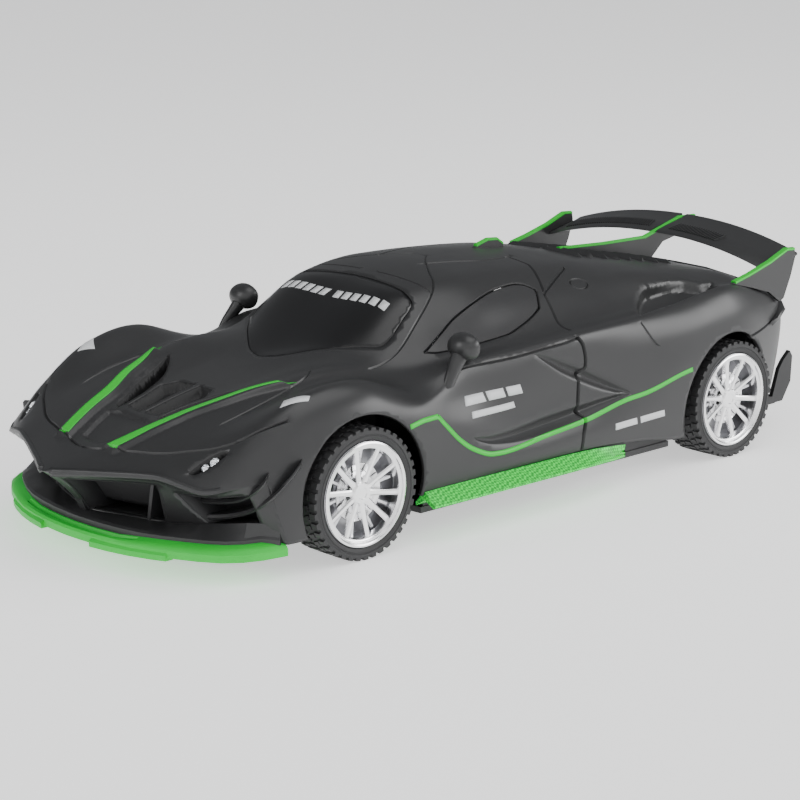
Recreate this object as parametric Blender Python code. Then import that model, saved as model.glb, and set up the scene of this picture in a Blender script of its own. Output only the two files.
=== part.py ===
"""Remote control car, about 1:18 scale: body shell, chassis, drive train and steering.

Lengths are in millimetres from the middle of the wheelbase: +X forward, +Y to the car's left,
+Z up from the ground. The empty "car" moves everything so that the middle of the whole length
is at X = 0, and turns millimetres into metres through the vertex positions.
"""

import math

import bmesh
import bpy
import numpy as np
from mathutils import Vector
from mathutils.bvhtree import BVHTree

MM = 0.001
CLEAR = 0.3                     # gap between touching pieces
SHIFT_X = -7.95                 # middle of the overall length, from the middle of the wheelbase

AXLE_X = 69.25                  # each axle from the middle of the wheelbase
TYRE_R = 16.5
TYRE_HALF = 6.3
RIM_R = 13.0
WHEEL_Y = 44.75                 # middle plane of each wheel
ARCH_R = 18.9
REAR_ARCH_R = 19.5
SHELL_WALL = 1.5
BOSSES = ((-86, 22), (97, 21))  # X and Y of the screws that hold the body to the chassis
FRONT_ARCH_X, REAR_ARCH_X = 68.6, -67.95

FLOOR_Z = 6.0                   # underside of the chassis floor
FLOOR_T = 1.6
FLOOR_TOP = FLOOR_Z + FLOOR_T

KINGPIN_Y = 32.0
STEER_ARM = 12.0                # knuckle arm and steering lever
MODULE = 0.5                    # gear tooth size
AXLE_TEETH, LAY_TEETH, LAY_SMALL, PINION_TEETH, SECTOR_TEETH = 30, 30, 10, 10, 40
TRAIN_GAP = MODULE * (AXLE_TEETH + LAY_SMALL) / 2
LAY_ANGLE, MOTOR_ANGLE = math.radians(26), math.radians(-5)

CELL_R, CELL_LENGTH, CELL_PITCH = 7.25, 50.0, 14.9
BAY_X0, BAY_X1, BAY_Y = -36.3, 26.3, 32.3      # battery bay opening in the floor
BAY_WALL = 1.5

# Feature lines of the body's left half, tail to nose, at thirteen stations.
BODY_LINES = [
    # bottom edge
    [(-97, 40, 10.5), (-88, 46, 9.5), (-69, 49.5, 9), (-48, 50, 9), (-30, 50, 11.5), (-9, 49.8, 12.6),
     (12, 49.8, 12.8), (31, 49.8, 12.6), (49, 49.6, 12), (68, 49.4, 10), (84, 49.5, 8.5),
     (89, 49.6, 8.5), (92.5, 49.3, 8.5)],
    # lower flank
    [(-99, 41, 18), (-88, 47, 18), (-69, 50.8, 19), (-48, 51, 18), (-30, 50.8, 18), (-9, 50.2, 17.5),
     (12, 50, 17), (31, 50.2, 18), (49, 50.4, 19), (68, 50.6, 19), (84, 49.9, 16.5),
     (90, 49.4, 16), (95, 48.6, 15.8)],
    # waist
    [(-100, 42, 26), (-88, 47.3, 27), (-69, 51.6, 29), (-48, 51.6, 28), (-30, 50.4, 24.6),
     (-9, 48.6, 24), (12, 47.6, 24.5), (31, 48.6, 26.5), (49, 50.2, 28), (68, 51.4, 29.5),
     (84, 49.9, 27), (91, 48.9, 25), (97.5, 47.2, 24)],
    # flank top
    [(-100, 42.6, 33), (-88, 46.6, 36), (-69, 50.2, 40), (-48, 50.4, 38), (-29, 49, 36.5),
     (-9, 47.6, 35), (12, 46.6, 33.5), (30, 46.2, 33), (49, 48.6, 34), (68, 49.6, 38),
     (84, 48.2, 34), (95, 46.6, 29), (105, 44.2, 23.3)],
    # wing crest and door shoulder
    [(-99, 42, 39.4), (-88, 43, 44.2), (-69, 45, 47.9), (-47, 46, 45.3), (-30, 46.4, 43.8),
     (-9, 46.2, 42.8), (10, 45.2, 41.4), (28, 44, 41), (45, 43.6, 37), (66, 43.2, 43),
     (83, 42.2, 41), (98, 40, 33.2), (110.2, 40, 22.3)],
    # valley inside the crest
    [(-100, 34, 41), (-88, 35, 45), (-69, 36, 46.2), (-48, 37, 44.5), (-30, 38.5, 45.2),
     (-9, 38, 44.8), (10, 37.5, 43.8), (28, 36.6, 42), (47, 33.5, 39.6), (65, 31, 40.2),
     (82, 29.5, 37.6), (100, 29, 32.6), (115.5, 27.6, 24.8)],
    # hood ridge, side glass and rear buttress
    [(-101, 24, 43), (-88, 25, 47.3), (-69, 25, 50), (-48, 27, 52.2), (-30, 29, 52.6),
     (-11, 29.5, 52.4), (9, 30, 52.4), (28, 28.2, 50.2), (47, 26.4, 42.4), (66, 24.6, 41.4),
     (84, 21, 37.8), (101, 18, 32.8), (119.6, 18, 24.3)],
    # hood centre panel and roof rail
    [(-102, 12, 44.2), (-88, 13, 47.4), (-70, 14, 50.6), (-50, 16, 54), (-30, 19, 56.6),
     (-10, 20, 57.7), (8, 20, 58.2), (30, 18.5, 55.4), (50, 13, 44.6), (67, 11, 38.8),
     (85, 10.2, 35.6), (102, 9.6, 31.8), (123.8, 9, 23.7)],
    # centre line
    [(-102, 0, 44.6), (-88, 0, 47.2), (-70, 0, 51), (-50, 0, 54.6), (-30, 0, 58), (-10, 0, 59.8),
     (8, 0, 60), (30, 0, 56.4), (52, 0, 43.6), (68, 0, 38.6), (86, 0, 35.2), (103, 0, 31),
     (127.4, 0, 23.1)],
]
NOSE_TOE = (114.5, 0, 9.6)      # bottom of the front face on the centre line
NOSE_BELLY = (119.6, 0, 16.5)
TAIL_TOE = (-99.5, 0, 11)       # bottom of the rear face on the centre line
TAIL_BELLY = (-99, 0, 30)

SCREEN = [(60.3, 0), (58.3, 6), (51.8, 15), (45.4, 22), (41.2, 26.2), (34.5, 25.6),
          (28.4, 23.6), (26.6, 12), (26.2, 0)]
MOUTH = [(3.2, 21.2), (26.8, 22.5), (22.6, 11.2), (1.6, 11.2)]
DUCT = [(30.4, 21), (45.6, 21.4), (45.6, 13.4), (35, 11.8)]


# ---------------------------------------------------------------- scene and materials

def clear_scene():
    for item in list(bpy.data.objects):
        bpy.data.objects.remove(item, do_unlink=True)


def material(name, colour, roughness, metallic=0.0):
    made = bpy.data.materials.new(name)
    made.use_nodes = True
    shader = made.node_tree.nodes["Principled BSDF"]
    shader.inputs["Base Color"].default_value = (*colour, 1)
    shader.inputs["Roughness"].default_value = roughness
    shader.inputs["Metallic"].default_value = metallic
    return made


def materials():
    return {
        "body": material("body_plastic", (0.035, 0.036, 0.038), 0.42),
        "green": material("green_plastic", (0.03, 0.5, 0.05), 0.38),
        "screen": material("screen_plastic", (0.006, 0.006, 0.007), 0.12),
        "black": material("chassis_plastic", (0.012, 0.012, 0.013), 0.55),
        "chrome": material("chromed_plastic", (0.9, 0.9, 0.92), 0.08, 1.0),
        "rubber": material("tyre_rubber", (0.012, 0.012, 0.012), 0.85),
        "steel": material("steel", (0.6, 0.6, 0.62), 0.3, 1.0),
        "gear": material("gear_nylon", (0.8, 0.79, 0.74), 0.45),
        "brass": material("brass", (0.8, 0.58, 0.25), 0.3, 1.0),
        "cell": material("cell_jacket", (0.05, 0.2, 0.45), 0.35),
        "board": material("circuit_board", (0.02, 0.18, 0.07), 0.5),
        "lens": material("lens", (0.85, 0.87, 0.9), 0.1, 0.6),
    }


# ---------------------------------------------------------------- building blocks

def place(name, mesh_source, finish, at=(0, 0, 0), smooth=True):
    """A named object from a bmesh in millimetres, with its origin at the point given."""
    mesh = bpy.data.meshes.new(name)
    bmesh.ops.recalc_face_normals(mesh_source, faces=mesh_source.faces)
    bmesh.ops.scale(mesh_source, vec=(MM, MM, MM), verts=mesh_source.verts)
    mesh_source.to_mesh(mesh)
    mesh_source.free()
    if smooth:
        mesh.shade_smooth()
        mesh.set_sharp_from_angle(angle=math.radians(32))
    made = bpy.data.objects.new(name, mesh)
    bpy.context.scene.collection.objects.link(made)
    made.parent = CAR
    made.location = Vector(at) * MM
    if finish is not None:
        mesh.materials.append(finish)
    return made


def cutter(name, mesh_source, at=(0, 0, 0)):
    made = place(name, mesh_source, None, at, smooth=False)
    made.hide_render = True
    made.display_type = "WIRE"
    return made


def join_with(target, other, operation):
    step = target.modifiers.new(f"{operation.lower()}_{other.name}", "BOOLEAN")
    step.operation = operation
    step.object = other
    step.solver = "EXACT"


def box(x0, x1, y0, y1, z0, z1):
    made = bmesh.new()
    bmesh.ops.create_cube(made, size=1)
    for corner in made.verts:
        corner.co = Vector((x1 if corner.co.x > 0 else x0, y1 if corner.co.y > 0 else y0,
                            z1 if corner.co.z > 0 else z0))
    return made


def combine(*parts):
    """Several closed, separate shapes in one bmesh."""
    whole = bmesh.new()
    for part in parts:
        holder = bpy.data.meshes.new("part")
        part.to_mesh(holder)
        part.free()
        whole.from_mesh(holder)
        bpy.data.meshes.remove(holder)
    return whole


def prism(outline, low, high, axis="Z"):
    """A straight extrusion of a flat outline along an axis."""
    turn = {"Z": lambda a, b, c: (a, b, c), "X": lambda a, b, c: (c, a, b),
            "Y": lambda a, b, c: (a, c, b)}[axis]
    made = bmesh.new()
    ends = [[made.verts.new(turn(a, b, c)) for a, b in outline] for c in (low, high)]
    made.faces.new(ends[0][::-1])
    made.faces.new(ends[1])
    for i in range(len(outline)):
        j = (i + 1) % len(outline)
        made.faces.new((ends[0][i], ends[0][j], ends[1][j], ends[1][i]))
    return made


def turned(profile, segments, axis="Y"):
    """A closed ring or solid turned from (radius, along) points; a radius of 0 is on the axis."""
    turn = {"Y": lambda r, a, c, s: (r * c, a, r * s), "Z": lambda r, a, c, s: (r * c, r * s, a)}[axis]
    made = bmesh.new()
    rings = []
    for radius, along in profile:
        if radius == 0:
            rings.append([made.verts.new(turn(0, along, 1, 0))] * segments)
            continue
        rings.append([made.verts.new(turn(radius, along, math.cos(2 * math.pi * k / segments),
                                          math.sin(2 * math.pi * k / segments)))
                      for k in range(segments)])
    for i in range(len(rings)):
        here, after = rings[i], rings[(i + 1) % len(rings)]
        for k in range(segments):
            corners = list(dict.fromkeys((here[k], here[k - 1], after[k - 1], after[k])))
            if len(corners) > 2:
                made.faces.new(corners)
    return made


def bridge_rings(made, rings):
    """Walls between rings of equal length, and a cap on each end."""
    count = len(rings[0])
    for a, b in zip(rings, rings[1:]):
        for i in range(count):
            j = (i + 1) % count
            made.faces.new((a[i], a[j], b[j], b[i]))
    made.faces.new(rings[0][::-1])
    made.faces.new(rings[-1])


def rod(radius, low, high, segments=16, axis="Y"):
    return turned([(0, low), (radius, low), (radius, high), (0, high)], segments, axis)


def shifted(mesh_source, x=0, y=0, z=0):
    bmesh.ops.translate(mesh_source, vec=(x, y, z), verts=mesh_source.verts)
    return mesh_source


def mirrored(outline):
    """A half outline from the centre line out, closed by its mirror image in Y."""
    other = [(a, -b) for a, b in reversed(outline) if b > 0]
    return outline + other


def gear_outline(teeth, turn=0.0, first=0, last=None):
    """Trapezoid teeth with a little backlash; the whole ring, or a sector of it."""
    pitch = MODULE * teeth / 2
    step = 2 * math.pi / teeth
    points = []
    for k in range(first, teeth if last is None else last):
        middle = turn + k * step
        for offset, radius in ((-0.35, pitch - 1.25 * MODULE), (-0.1, pitch + 0.85 * MODULE),
                               (0.1, pitch + 0.85 * MODULE), (0.35, pitch - 1.25 * MODULE)):
            angle = middle + offset * step
            points.append((radius * math.cos(angle), radius * math.sin(angle)))
    return points


# ---------------------------------------------------------------- body surface

def slopes(x, y):
    """Modified Akima slopes, which keep a curve calm beside a sharp change."""
    rise = np.diff(y, axis=0) / np.diff(x)[:, None]
    rise = np.vstack([3 * rise[0] - 2 * rise[1], 2 * rise[0] - rise[1], rise,
                      2 * rise[-1] - rise[-2], 3 * rise[-1] - 2 * rise[-2]])
    weight = np.abs(np.diff(rise, axis=0)) + np.abs(rise[:-1] + rise[1:]) / 2
    total = weight[2:] + weight[:-2]
    total[total < 1e-12] = 1
    return (weight[2:] * rise[1:-2] + weight[:-2] * rise[2:-1]) / total


def through(x, y, at):
    """A smooth curve through the points y at x, read at the places given."""
    slope = slopes(x, y)
    k = np.clip(np.searchsorted(x, at, side="right") - 1, 0, len(x) - 2)
    width = (x[k + 1] - x[k])[:, None]
    u = (at - x[k])[:, None] / width
    return (y[k] * (1 - u) ** 2 * (1 + 2 * u) + y[k + 1] * u * u * (3 - 2 * u)
            + slope[k] * width * u * (1 - u) ** 2 - slope[k + 1] * width * u * u * (1 - u))


def body_grid(stations, across):
    """Body points at each station (0 tail to 12 lip) and line (0 left sill, 8 centre, 16 right sill)."""
    control = np.array(BODY_LINES, float)
    along = np.arange(control.shape[1], dtype=float)
    lines = np.array([through(along, line, stations) for line in control])
    right = lines[::-1][1:] * (1, -1, 1)
    lines = np.concatenate([lines, right])
    places = np.arange(lines.shape[0], dtype=float)
    return np.array([through(places, lines[:, i], across) for i in range(len(stations))])


def blend_patch(top, side, belly, toe):
    """A face hung from a top edge (side corner to centre), meeting a side edge that runs down."""
    rows, columns = len(side), len(top)
    drop = np.linspace(0, 1, rows)
    centre = through(np.array([0, 0.5, 1.0]), np.array([top[-1], belly, toe], float), drop)
    bottom = np.array([np.array(side[-1]) * (1 - t) + np.array(toe) * t
                       for t in np.linspace(0, 1, columns)])
    bulge = np.sin(np.linspace(0, np.pi, columns)) * 0.12 * abs(side[-1][0] - toe[0])
    bottom[:, 0] += bulge * np.sign(toe[0])
    grid = np.empty((rows, columns, 3))
    for i, w in enumerate(drop):
        for j, t in enumerate(np.linspace(0, 1, columns)):
            corners = ((1 - w) * ((1 - t) * top[0] + t * top[-1])
                       + w * ((1 - t) * bottom[0] + t * bottom[-1]))
            grid[i, j] = ((1 - w) * top[j] + w * bottom[j]
                          + (1 - t) * side[i] + t * centre[i] - corners)
    return grid


def add_grid(made, grid):
    nodes = [[made.verts.new(point) for point in row] for row in grid]
    for i in range(len(nodes) - 1):
        for j in range(len(nodes[0]) - 1):
            made.faces.new((nodes[i][j], nodes[i][j + 1], nodes[i + 1][j + 1], nodes[i + 1][j]))


def body_surface():
    """The outer skin as one open sheet: upper body, front face and rear face."""
    stations = np.linspace(0, 12, 25)
    between = np.array([2.5, 3.5, 4.5, 5.5, 6.5, 7.5])
    across = np.sort(np.concatenate([np.arange(0, 17), between, 16 - between]))
    upper = body_grid(stations, across)
    made = bmesh.new()
    add_grid(made, upper)
    middle = list(across).index(8)
    for end, corner, belly, toe in ((-1, 2, NOSE_BELLY, NOSE_TOE), (0, 4, TAIL_BELLY, TAIL_TOE)):
        split = list(across).index(corner)
        top = upper[end, split:middle + 1]
        side = upper[end, :split + 1][::-1]
        face = blend_patch(top, side, belly, toe)
        add_grid(made, face)
        add_grid(made, face * (1, -1, 1))
    bmesh.ops.remove_doubles(made, verts=made.verts, dist=0.01)
    bmesh.ops.recalc_face_normals(made, faces=made.faces)
    made.normal_update()
    highest = max(made.faces, key=lambda face: face.calc_center_median().z)
    if highest.normal.z < 0:
        bmesh.ops.reverse_faces(made, faces=made.faces)
    return made


def thickened(name, skin, finish):
    """The skin as an object, with its wall added on the inside."""
    mesh = bpy.data.meshes.new(name)
    copy = skin.copy()
    bmesh.ops.scale(copy, vec=(MM, MM, MM), verts=copy.verts)
    copy.to_mesh(mesh)
    copy.free()
    mesh.shade_smooth()
    mesh.set_sharp_from_angle(angle=math.radians(32))
    mesh.materials.append(finish)
    made = bpy.data.objects.new(name, mesh)
    bpy.context.scene.collection.objects.link(made)
    made.parent = CAR
    wall = made.modifiers.new("wall", "SOLIDIFY")
    wall.thickness = SHELL_WALL * MM
    wall.offset = -1
    return made


def skin_height(tree, x, y):
    """Height of the outer skin above a point."""
    hit = tree.ray_cast(Vector((x, y, 90)), Vector((0, 0, -1)))
    return hit[0].z


def skin_top(tree, x0, x1, y0, y1):
    """The highest point of the skin over a small patch."""
    return max(skin_height(tree, x, y) for x in np.linspace(x0, x1, 5) for y in np.linspace(y0, y1, 5))


# ---------------------------------------------------------------- body pieces

def inset_outline(outline, amount):
    """The outline moved inwards, towards its middle, by about the amount given."""
    middle = (sum(p[0] for p in outline) / len(outline), sum(p[1] for p in outline) / len(outline))
    moved = []
    for x, y in outline:
        away = math.hypot(x - middle[0], y - middle[1])
        share = (away - amount * 1.3) / away
        moved.append((middle[0] + (x - middle[0]) * share, middle[1] + (y - middle[1]) * share))
    return moved


def make_body(skin, tree, looks):
    shell = thickened("body_shell", skin, looks["body"])
    for side in (1, -1):
        for x, y in BOSSES:
            top = skin_height(tree, x, side * y) - 0.8
            foot, hole = FLOOR_TOP + 0.4, FLOOR_TOP + 12
            profile = [(1.1, foot), (2.6, foot), (2.6, top), (0, top), (0, hole), (1.1, hole)]
            boss = cutter(f"boss_{x}_{side}", turned(profile, 10, "Z"), (x, side * y, 0))
            join_with(shell, boss, "UNION")
    for side in (1, -1):
        for x, radius, name in ((FRONT_ARCH_X, ARCH_R, "front"), (REAR_ARCH_X, REAR_ARCH_R, "rear")):
            outline = [(x + radius * math.cos(a), TYRE_R + radius * math.sin(a))
                       for a in np.radians(np.linspace(-8, 188, 17))]
            arch = shifted(prism(outline + [(x - radius, 0), (x + radius, 0)], -13.5, 13.5, "Y"),
                           y=side * 46.5)
            join_with(shell, cutter(f"arch_{name}_{side}", arch), "DIFFERENCE")
        relief = shifted(box(84, 92, -7.8, 7.8, 8.7, 26), y=side * 40.95)
        join_with(shell, cutter(f"wheel_well_{side}", relief), "DIFFERENCE")
        mouth = prism([(side * y, z) for y, z in MOUTH], 100, 132, "X")
        join_with(shell, cutter(f"mouth_{side}", mouth), "DIFFERENCE")
        duct = prism([(side * y, z) for y, z in DUCT], 97, 125, "X")
        join_with(shell, cutter(f"duct_{side}", duct), "DIFFERENCE")
    opening = prism(mirrored(SCREEN), 34, 66)
    join_with(shell, cutter("screen_opening", opening), "DIFFERENCE")
    return shell


def make_windscreen(skin, looks):
    screen = thickened("windscreen", skin, looks["screen"])
    keep = prism(inset_outline(mirrored(SCREEN), CLEAR), 34, 66)
    join_with(screen, cutter("screen_outline", keep), "INTERSECT")


def lamp_turn(side):
    """The headlights look forward, up and a little outward."""
    return Vector((0, 0, 1)).rotation_difference(Vector((0.72, side * 0.12, 0.68))).to_matrix()


def make_front_trim(shell, looks):
    outer = [(121.5, 0), (120.8, 10), (117.8, 22), (112, 34), (106, 42.5), (99, 47.5), (92.6, 49.4)]
    inner = [(93.2, 41), (98, 34), (102.6, 24), (104.2, 10), (104.4, 0)]
    left = outer[1:] + inner[:-1]
    right = [(x, -y) for x, y in reversed(left)]
    place("front_splitter", prism([outer[0]] + left + [inner[-1]] + right, 4.8, 7.9), looks["green"])
    place("front_grille", box(101.5, 103, -26, 26, 9.2, 21), looks["black"])
    for side, name in ((1, "left"), (-1, "right")):
        at = (103.6, side * 37.6, 28.6)
        hole = rod(3.9, -4.5, 4.5, 16, "Z")
        lamp = turned([(0, -2.6), (3.5, -2.6), (3.5, -0.4), (2.6, 0.3), (0, 0.6)], 16, "Z")
        for mesh in (hole, lamp):
            bmesh.ops.rotate(mesh, cent=(0, 0, 0), verts=mesh.verts, matrix=lamp_turn(side))
        join_with(shell, cutter(f"headlight_hole_{name}", hole, at), "DIFFERENCE")
        place(f"headlight_{name}", lamp, looks["lens"], at)


def make_skirts(looks):
    """Blades that slope out from under the body and end in a point behind."""
    rows = [(48.8, 53.6, 12.1), (40, 54.2, 12.1), (0, 54, 12.1), (-17, 52.6, 11.5), (-25.5, 49.8, 10.6)]
    for side, name in ((1, "left"), (-1, "right")):
        blade = bmesh.new()
        rings = []
        for x, reach, top in rows:
            section = [(46.4, top - 2.2), (50, top), (reach, top - 1.8), (reach, top - 2.8),
                       (50, top - 1.4), (46.4, top - 3.4)]
            rings.append([blade.verts.new((x, side * y, z)) for y, z in section])
        bridge_rings(blade, rings)
        place(f"side_skirt_{name}", blade, looks["green"])


def fin(points, half):
    """A flat fin in the XZ plane, as thick as twice the half given."""
    return prism(points, -half, half, "Y")


def wing_height(y):
    return 57.2 - 6.2 * (abs(y) / 42.6) ** 2.2


def make_wing(tree, looks):
    section = ((-92, -2.6), (-99, -1.6), (-106.5, 0.6), (-106.5, 1.5), (-99, -0.2), (-92, -1.6))
    for side, name in ((1, "left"), (-1, "right")):
        blade = bmesh.new()
        rings = [[blade.verts.new((x, side * y, wing_height(y) + dz)) for x, dz in section]
                 for y in np.linspace(0.9, 42.6, 8)]
        bridge_rings(blade, rings)
        place(f"wing_blade_{name}", blade, looks["body"])
        deck = [(x, skin_top(tree, x - 1, x + 1, side * 42.6, side * 44.2) + CLEAR)
                for x in (-75, -84, -93)]
        plate = fin(deck + [(-99.2, 40.6), (-101.2, 42), (-103.8, 51.8), (-103, 54.4), (-99.5, 54.6),
                            (-92, 51.8)], 0.65)
        place(f"wing_endplate_{name}", plate, looks["body"], (0, side * 43.6, 0))
    deck = [(x, skin_top(tree, x - 2, x + 2, -0.6, 0.6) + CLEAR) for x in (-52, -62, -72, -82, -91)]
    centre = fin(deck + [(-96, 51.5), (-106.8, 53.6), (-111.5, 57.2), (-109.6, 58.2), (-104, 58),
                         (-88, 53.4)], 0.55)
    place("wing_centre_fin", centre, looks["body"])
    roof = [(x, skin_top(tree, x - 1, x + 1, -0.5, 0.5) + CLEAR) for x in (-16.5, -22, -28)]
    place("roof_fin", fin(roof + [(-27.6, 59.4), (-25.6, 60.8), (-22, 61.2)], 0.5), looks["body"])


def make_mirrors(tree, looks):
    for side, name in ((1, "left"), (-1, "right")):
        head = bmesh.new()
        bmesh.ops.create_uvsphere(head, u_segments=14, v_segments=8, radius=1)
        for corner in head.verts:
            corner.co = Vector((29.2 + 3.8 * corner.co.x, side * (43.6 + 4.6 * corner.co.y),
                                45.6 + 3.6 * corner.co.z))
        foot = skin_top(tree, 32.4, 36.8, side * 43, side * 45.4) + CLEAR
        stem = bmesh.new()
        rings = [[stem.verts.new((x + 1.8 * math.cos(a), side * y + 1.1 * math.sin(a), z))
                  for a in np.radians(np.arange(0, 360, 45))]
                 for x, y, z in ((34.8, 44.2, foot), (34.2, 44.2, foot + 1.4), (32, 43.9, 44.2),
                                 (30, 43.6, 45.4))]
        bridge_rings(stem, rings)
        mirror = place(f"mirror_{name}", head, looks["body"])
        join_with(mirror, cutter(f"mirror_stem_{name}", stem), "UNION")


def make_diffuser(looks):
    plan = [(-95.4, 33), (-99.5, 38.9), (-103.5, 38.9), (-105, 30)]
    floor = prism(plan + [(x, -y) for x, y in reversed(plan)], 7.2, 9.8)
    diffuser = place("rear_diffuser", floor, looks["black"])
    tall = [(-101.6, 7.6), (-107, 7.6), (-111, 14), (-111, 20.5), (-109.5, 22.5), (-105, 17.5)]
    low = [(-101.4, 5.6), (-103, 4.4), (-106, 4.4), (-107, 7), (-107, 10.6), (-104, 11.6), (-101.4, 8)]
    for y, outline in ((-38.2, tall), (-13, low), (13, low), (38.2, tall)):
        join_with(diffuser, cutter(f"fence_{y}", fin(outline, 0.7), (0, y, 0)), "UNION")


# ---------------------------------------------------------------- chassis and power

def chassis_plan():
    half = [(-95, 0), (-95, 24), (-90, 28), (-49, 31), (-47.5, 46), (46.5, 46), (48, 28), (64, 28),
            (64, 35.2), (74.5, 35.2), (74.5, 28), (92, 28), (95.4, 33.4), (97.5, 33.4), (102.2, 23.8),
            (103.8, 10), (104, 0)]
    return half + [(x, -y) for x, y in reversed(half) if y > 0]


def make_chassis(looks):
    tray = place("chassis_tray", prism(chassis_plan(), FLOOR_Z, FLOOR_TOP), looks["black"])
    cut = box(BAY_X0, BAY_X1, -BAY_Y, BAY_Y, 0, 30)
    join_with(tray, cutter("bay_opening", cut), "DIFFERENCE")
    ring = box(BAY_X0 - BAY_WALL, BAY_X1 + BAY_WALL, -BAY_Y - BAY_WALL, BAY_Y + BAY_WALL,
               FLOOR_Z + 0.4, 23.4)
    ring_object = cutter("bay_walls", ring)
    inner = cutter("bay_inside", box(BAY_X0, BAY_X1, -BAY_Y, BAY_Y, 0, 30))
    join_with(ring_object, inner, "DIFFERENCE")
    join_with(tray, ring_object, "UNION")
    for side in (1, -1):
        rail = shifted(box(-46.5, 45.5, -0.6, 0.6, FLOOR_Z + 0.5, 12), y=side * 45.1)
        join_with(tray, cutter(f"rail_{side}", rail), "UNION")
        post = box(-AXLE_X - 5, -AXLE_X + 5, side * 26 - 1.6, side * 26 + 1.6, FLOOR_Z + 0.5, 23)
        join_with(tray, cutter(f"axle_post_{side}", post), "UNION")
        bore = rod(3.3, side * 26 - 4, side * 26 + 4, 16)
        join_with(tray, cutter(f"bush_bore_{side}", bore, (-AXLE_X, 0, TYRE_R)), "DIFFERENCE")
        pin = rod(1.8, 0, 14, 12, "Z")
        join_with(tray, cutter(f"kingpin_bore_{side}", pin, (AXLE_X, side * KINGPIN_Y, 0)), "DIFFERENCE")
        for x, y in BOSSES:
            hole = rod(1.2, 0, 14, 10, "Z")
            join_with(tray, cutter(f"screw_hole_{x}_{side}", hole, (x, side * y, 0)), "DIFFERENCE")
    pivot = rod(1.5, FLOOR_Z + 0.5, 23.9, 12, "Z")
    join_with(tray, cutter("lever_post", pivot, (AXLE_X - 2 * STEER_ARM, 0, 0)), "UNION")
    slot = box(36.2, 42.2, -1.8, 1.8, 0, 14)
    join_with(tray, cutter("switch_slot", slot), "DIFFERENCE")
    dial = rod(5.4, 0, 14, 20, "Z")
    join_with(tray, cutter("dial_hole", dial, (40, -18, 0)), "DIFFERENCE")


def make_power(looks):
    place("battery_cover", box(-0.6, 60.6, -31.9, 31.9, -0.8, 0.8), looks["black"],
          (BAY_X0 + 1.3, 0, FLOOR_Z + 0.8), smooth=False)
    for k in range(4):
        way = 1 if k % 2 else -1
        half = CELL_LENGTH / 2
        cell = turned([(0, -half), (CELL_R - 0.6, -half), (CELL_R, -half + 0.6), (CELL_R, half - 1.4),
                       (CELL_R - 0.6, half - 1), (2.7, half - 1), (2.7, half), (0, half)], 16)
        bmesh.ops.rotate(cell, cent=(0, 0, 0), verts=cell.verts,
                         matrix=Vector((0, 1, 0)).rotation_difference(Vector((way, 0, 0))).to_matrix())
        place(f"aa_cell_{k + 1}", cell, looks["cell"],
              ((BAY_X0 + BAY_X1) / 2, (k - 1.5) * CELL_PITCH, FLOOR_TOP + 0.5 + CELL_R))
    for x, name in ((BAY_X0 + 0.4, "rear"), (BAY_X1 - 1.0, "front")):
        strip = box(x, x + 0.6, -29.5, 29.5, 9.5, 21)
        place(f"battery_contact_{name}", strip, looks["steel"], smooth=False)
    board = place("circuit_board", box(-24, 8, -33.2, 33.2, 23.8, 25.2), looks["board"], smooth=False)
    for k, (x, y, w, d, h) in enumerate(((-6, 0, 12, 8, 2), (-20, 10, 6, 6, 7), (6, -12, 5, 8, 4))):
        chip = box(x - w / 2, x + w / 2, y - d / 2, y + d / 2, 25, 25.2 + h)
        join_with(board, cutter(f"component_{k}", chip), "UNION")
    switch = place("power_switch", box(31.8, 43.3, -4, 4, FLOOR_TOP + CLEAR, 13), looks["black"], smooth=False)
    groove = box(36, 42.4, -1.8, 1.8, 5, 8.6)
    join_with(switch, cutter("switch_groove", groove), "DIFFERENCE")
    place("switch_slider", box(-1.5, 1.5, -1.4, 1.4, -1.6, 2.2), looks["black"], (38, 0, FLOOR_Z),
          smooth=False)
    dial = rod(5, FLOOR_Z - 0.9, FLOOR_TOP - 0.2, 20, "Z")
    grip = box(-4.2, 4.2, -0.7, 0.7, FLOOR_Z - 2, FLOOR_Z - 0.5)
    trim = place("trim_dial", dial, looks["black"], (40, -18, 0))
    join_with(trim, cutter("trim_grip", grip, (40, -18, 0)), "UNION")


# ---------------------------------------------------------------- drive train

def lay_place():
    return (-AXLE_X + TRAIN_GAP * math.cos(LAY_ANGLE), TYRE_R + TRAIN_GAP * math.sin(LAY_ANGLE))


def motor_place():
    x, z = lay_place()
    reach = MODULE * (LAY_TEETH + PINION_TEETH) / 2
    return x + reach * math.cos(MOTOR_ANGLE), z + reach * math.sin(MOTOR_ANGLE)


def toothed(outline, low, high, bore):
    """A spur gear with its axis along Y and a round bore."""
    made = bmesh.new()
    sides = 12
    ends = []
    for y in (low, high):
        rim = [made.verts.new((a, y, b)) for a, b in outline]
        hole = [made.verts.new((bore * math.cos(2 * math.pi * k / sides), y,
                                bore * math.sin(2 * math.pi * k / sides))) for k in range(sides)]
        edges = [made.edges.new((ring[i], ring[(i + 1) % len(ring)]))
                 for ring in (rim, hole) for i in range(len(ring))]
        bmesh.ops.triangle_fill(made, edges=edges, use_beauty=True)
        ends.append((rim, hole))
    for a, b in zip(ends[0], ends[1]):
        for i in range(len(a)):
            j = (i + 1) % len(a)
            made.faces.new((a[i], a[j], b[j], b[i]))
    return made


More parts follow.
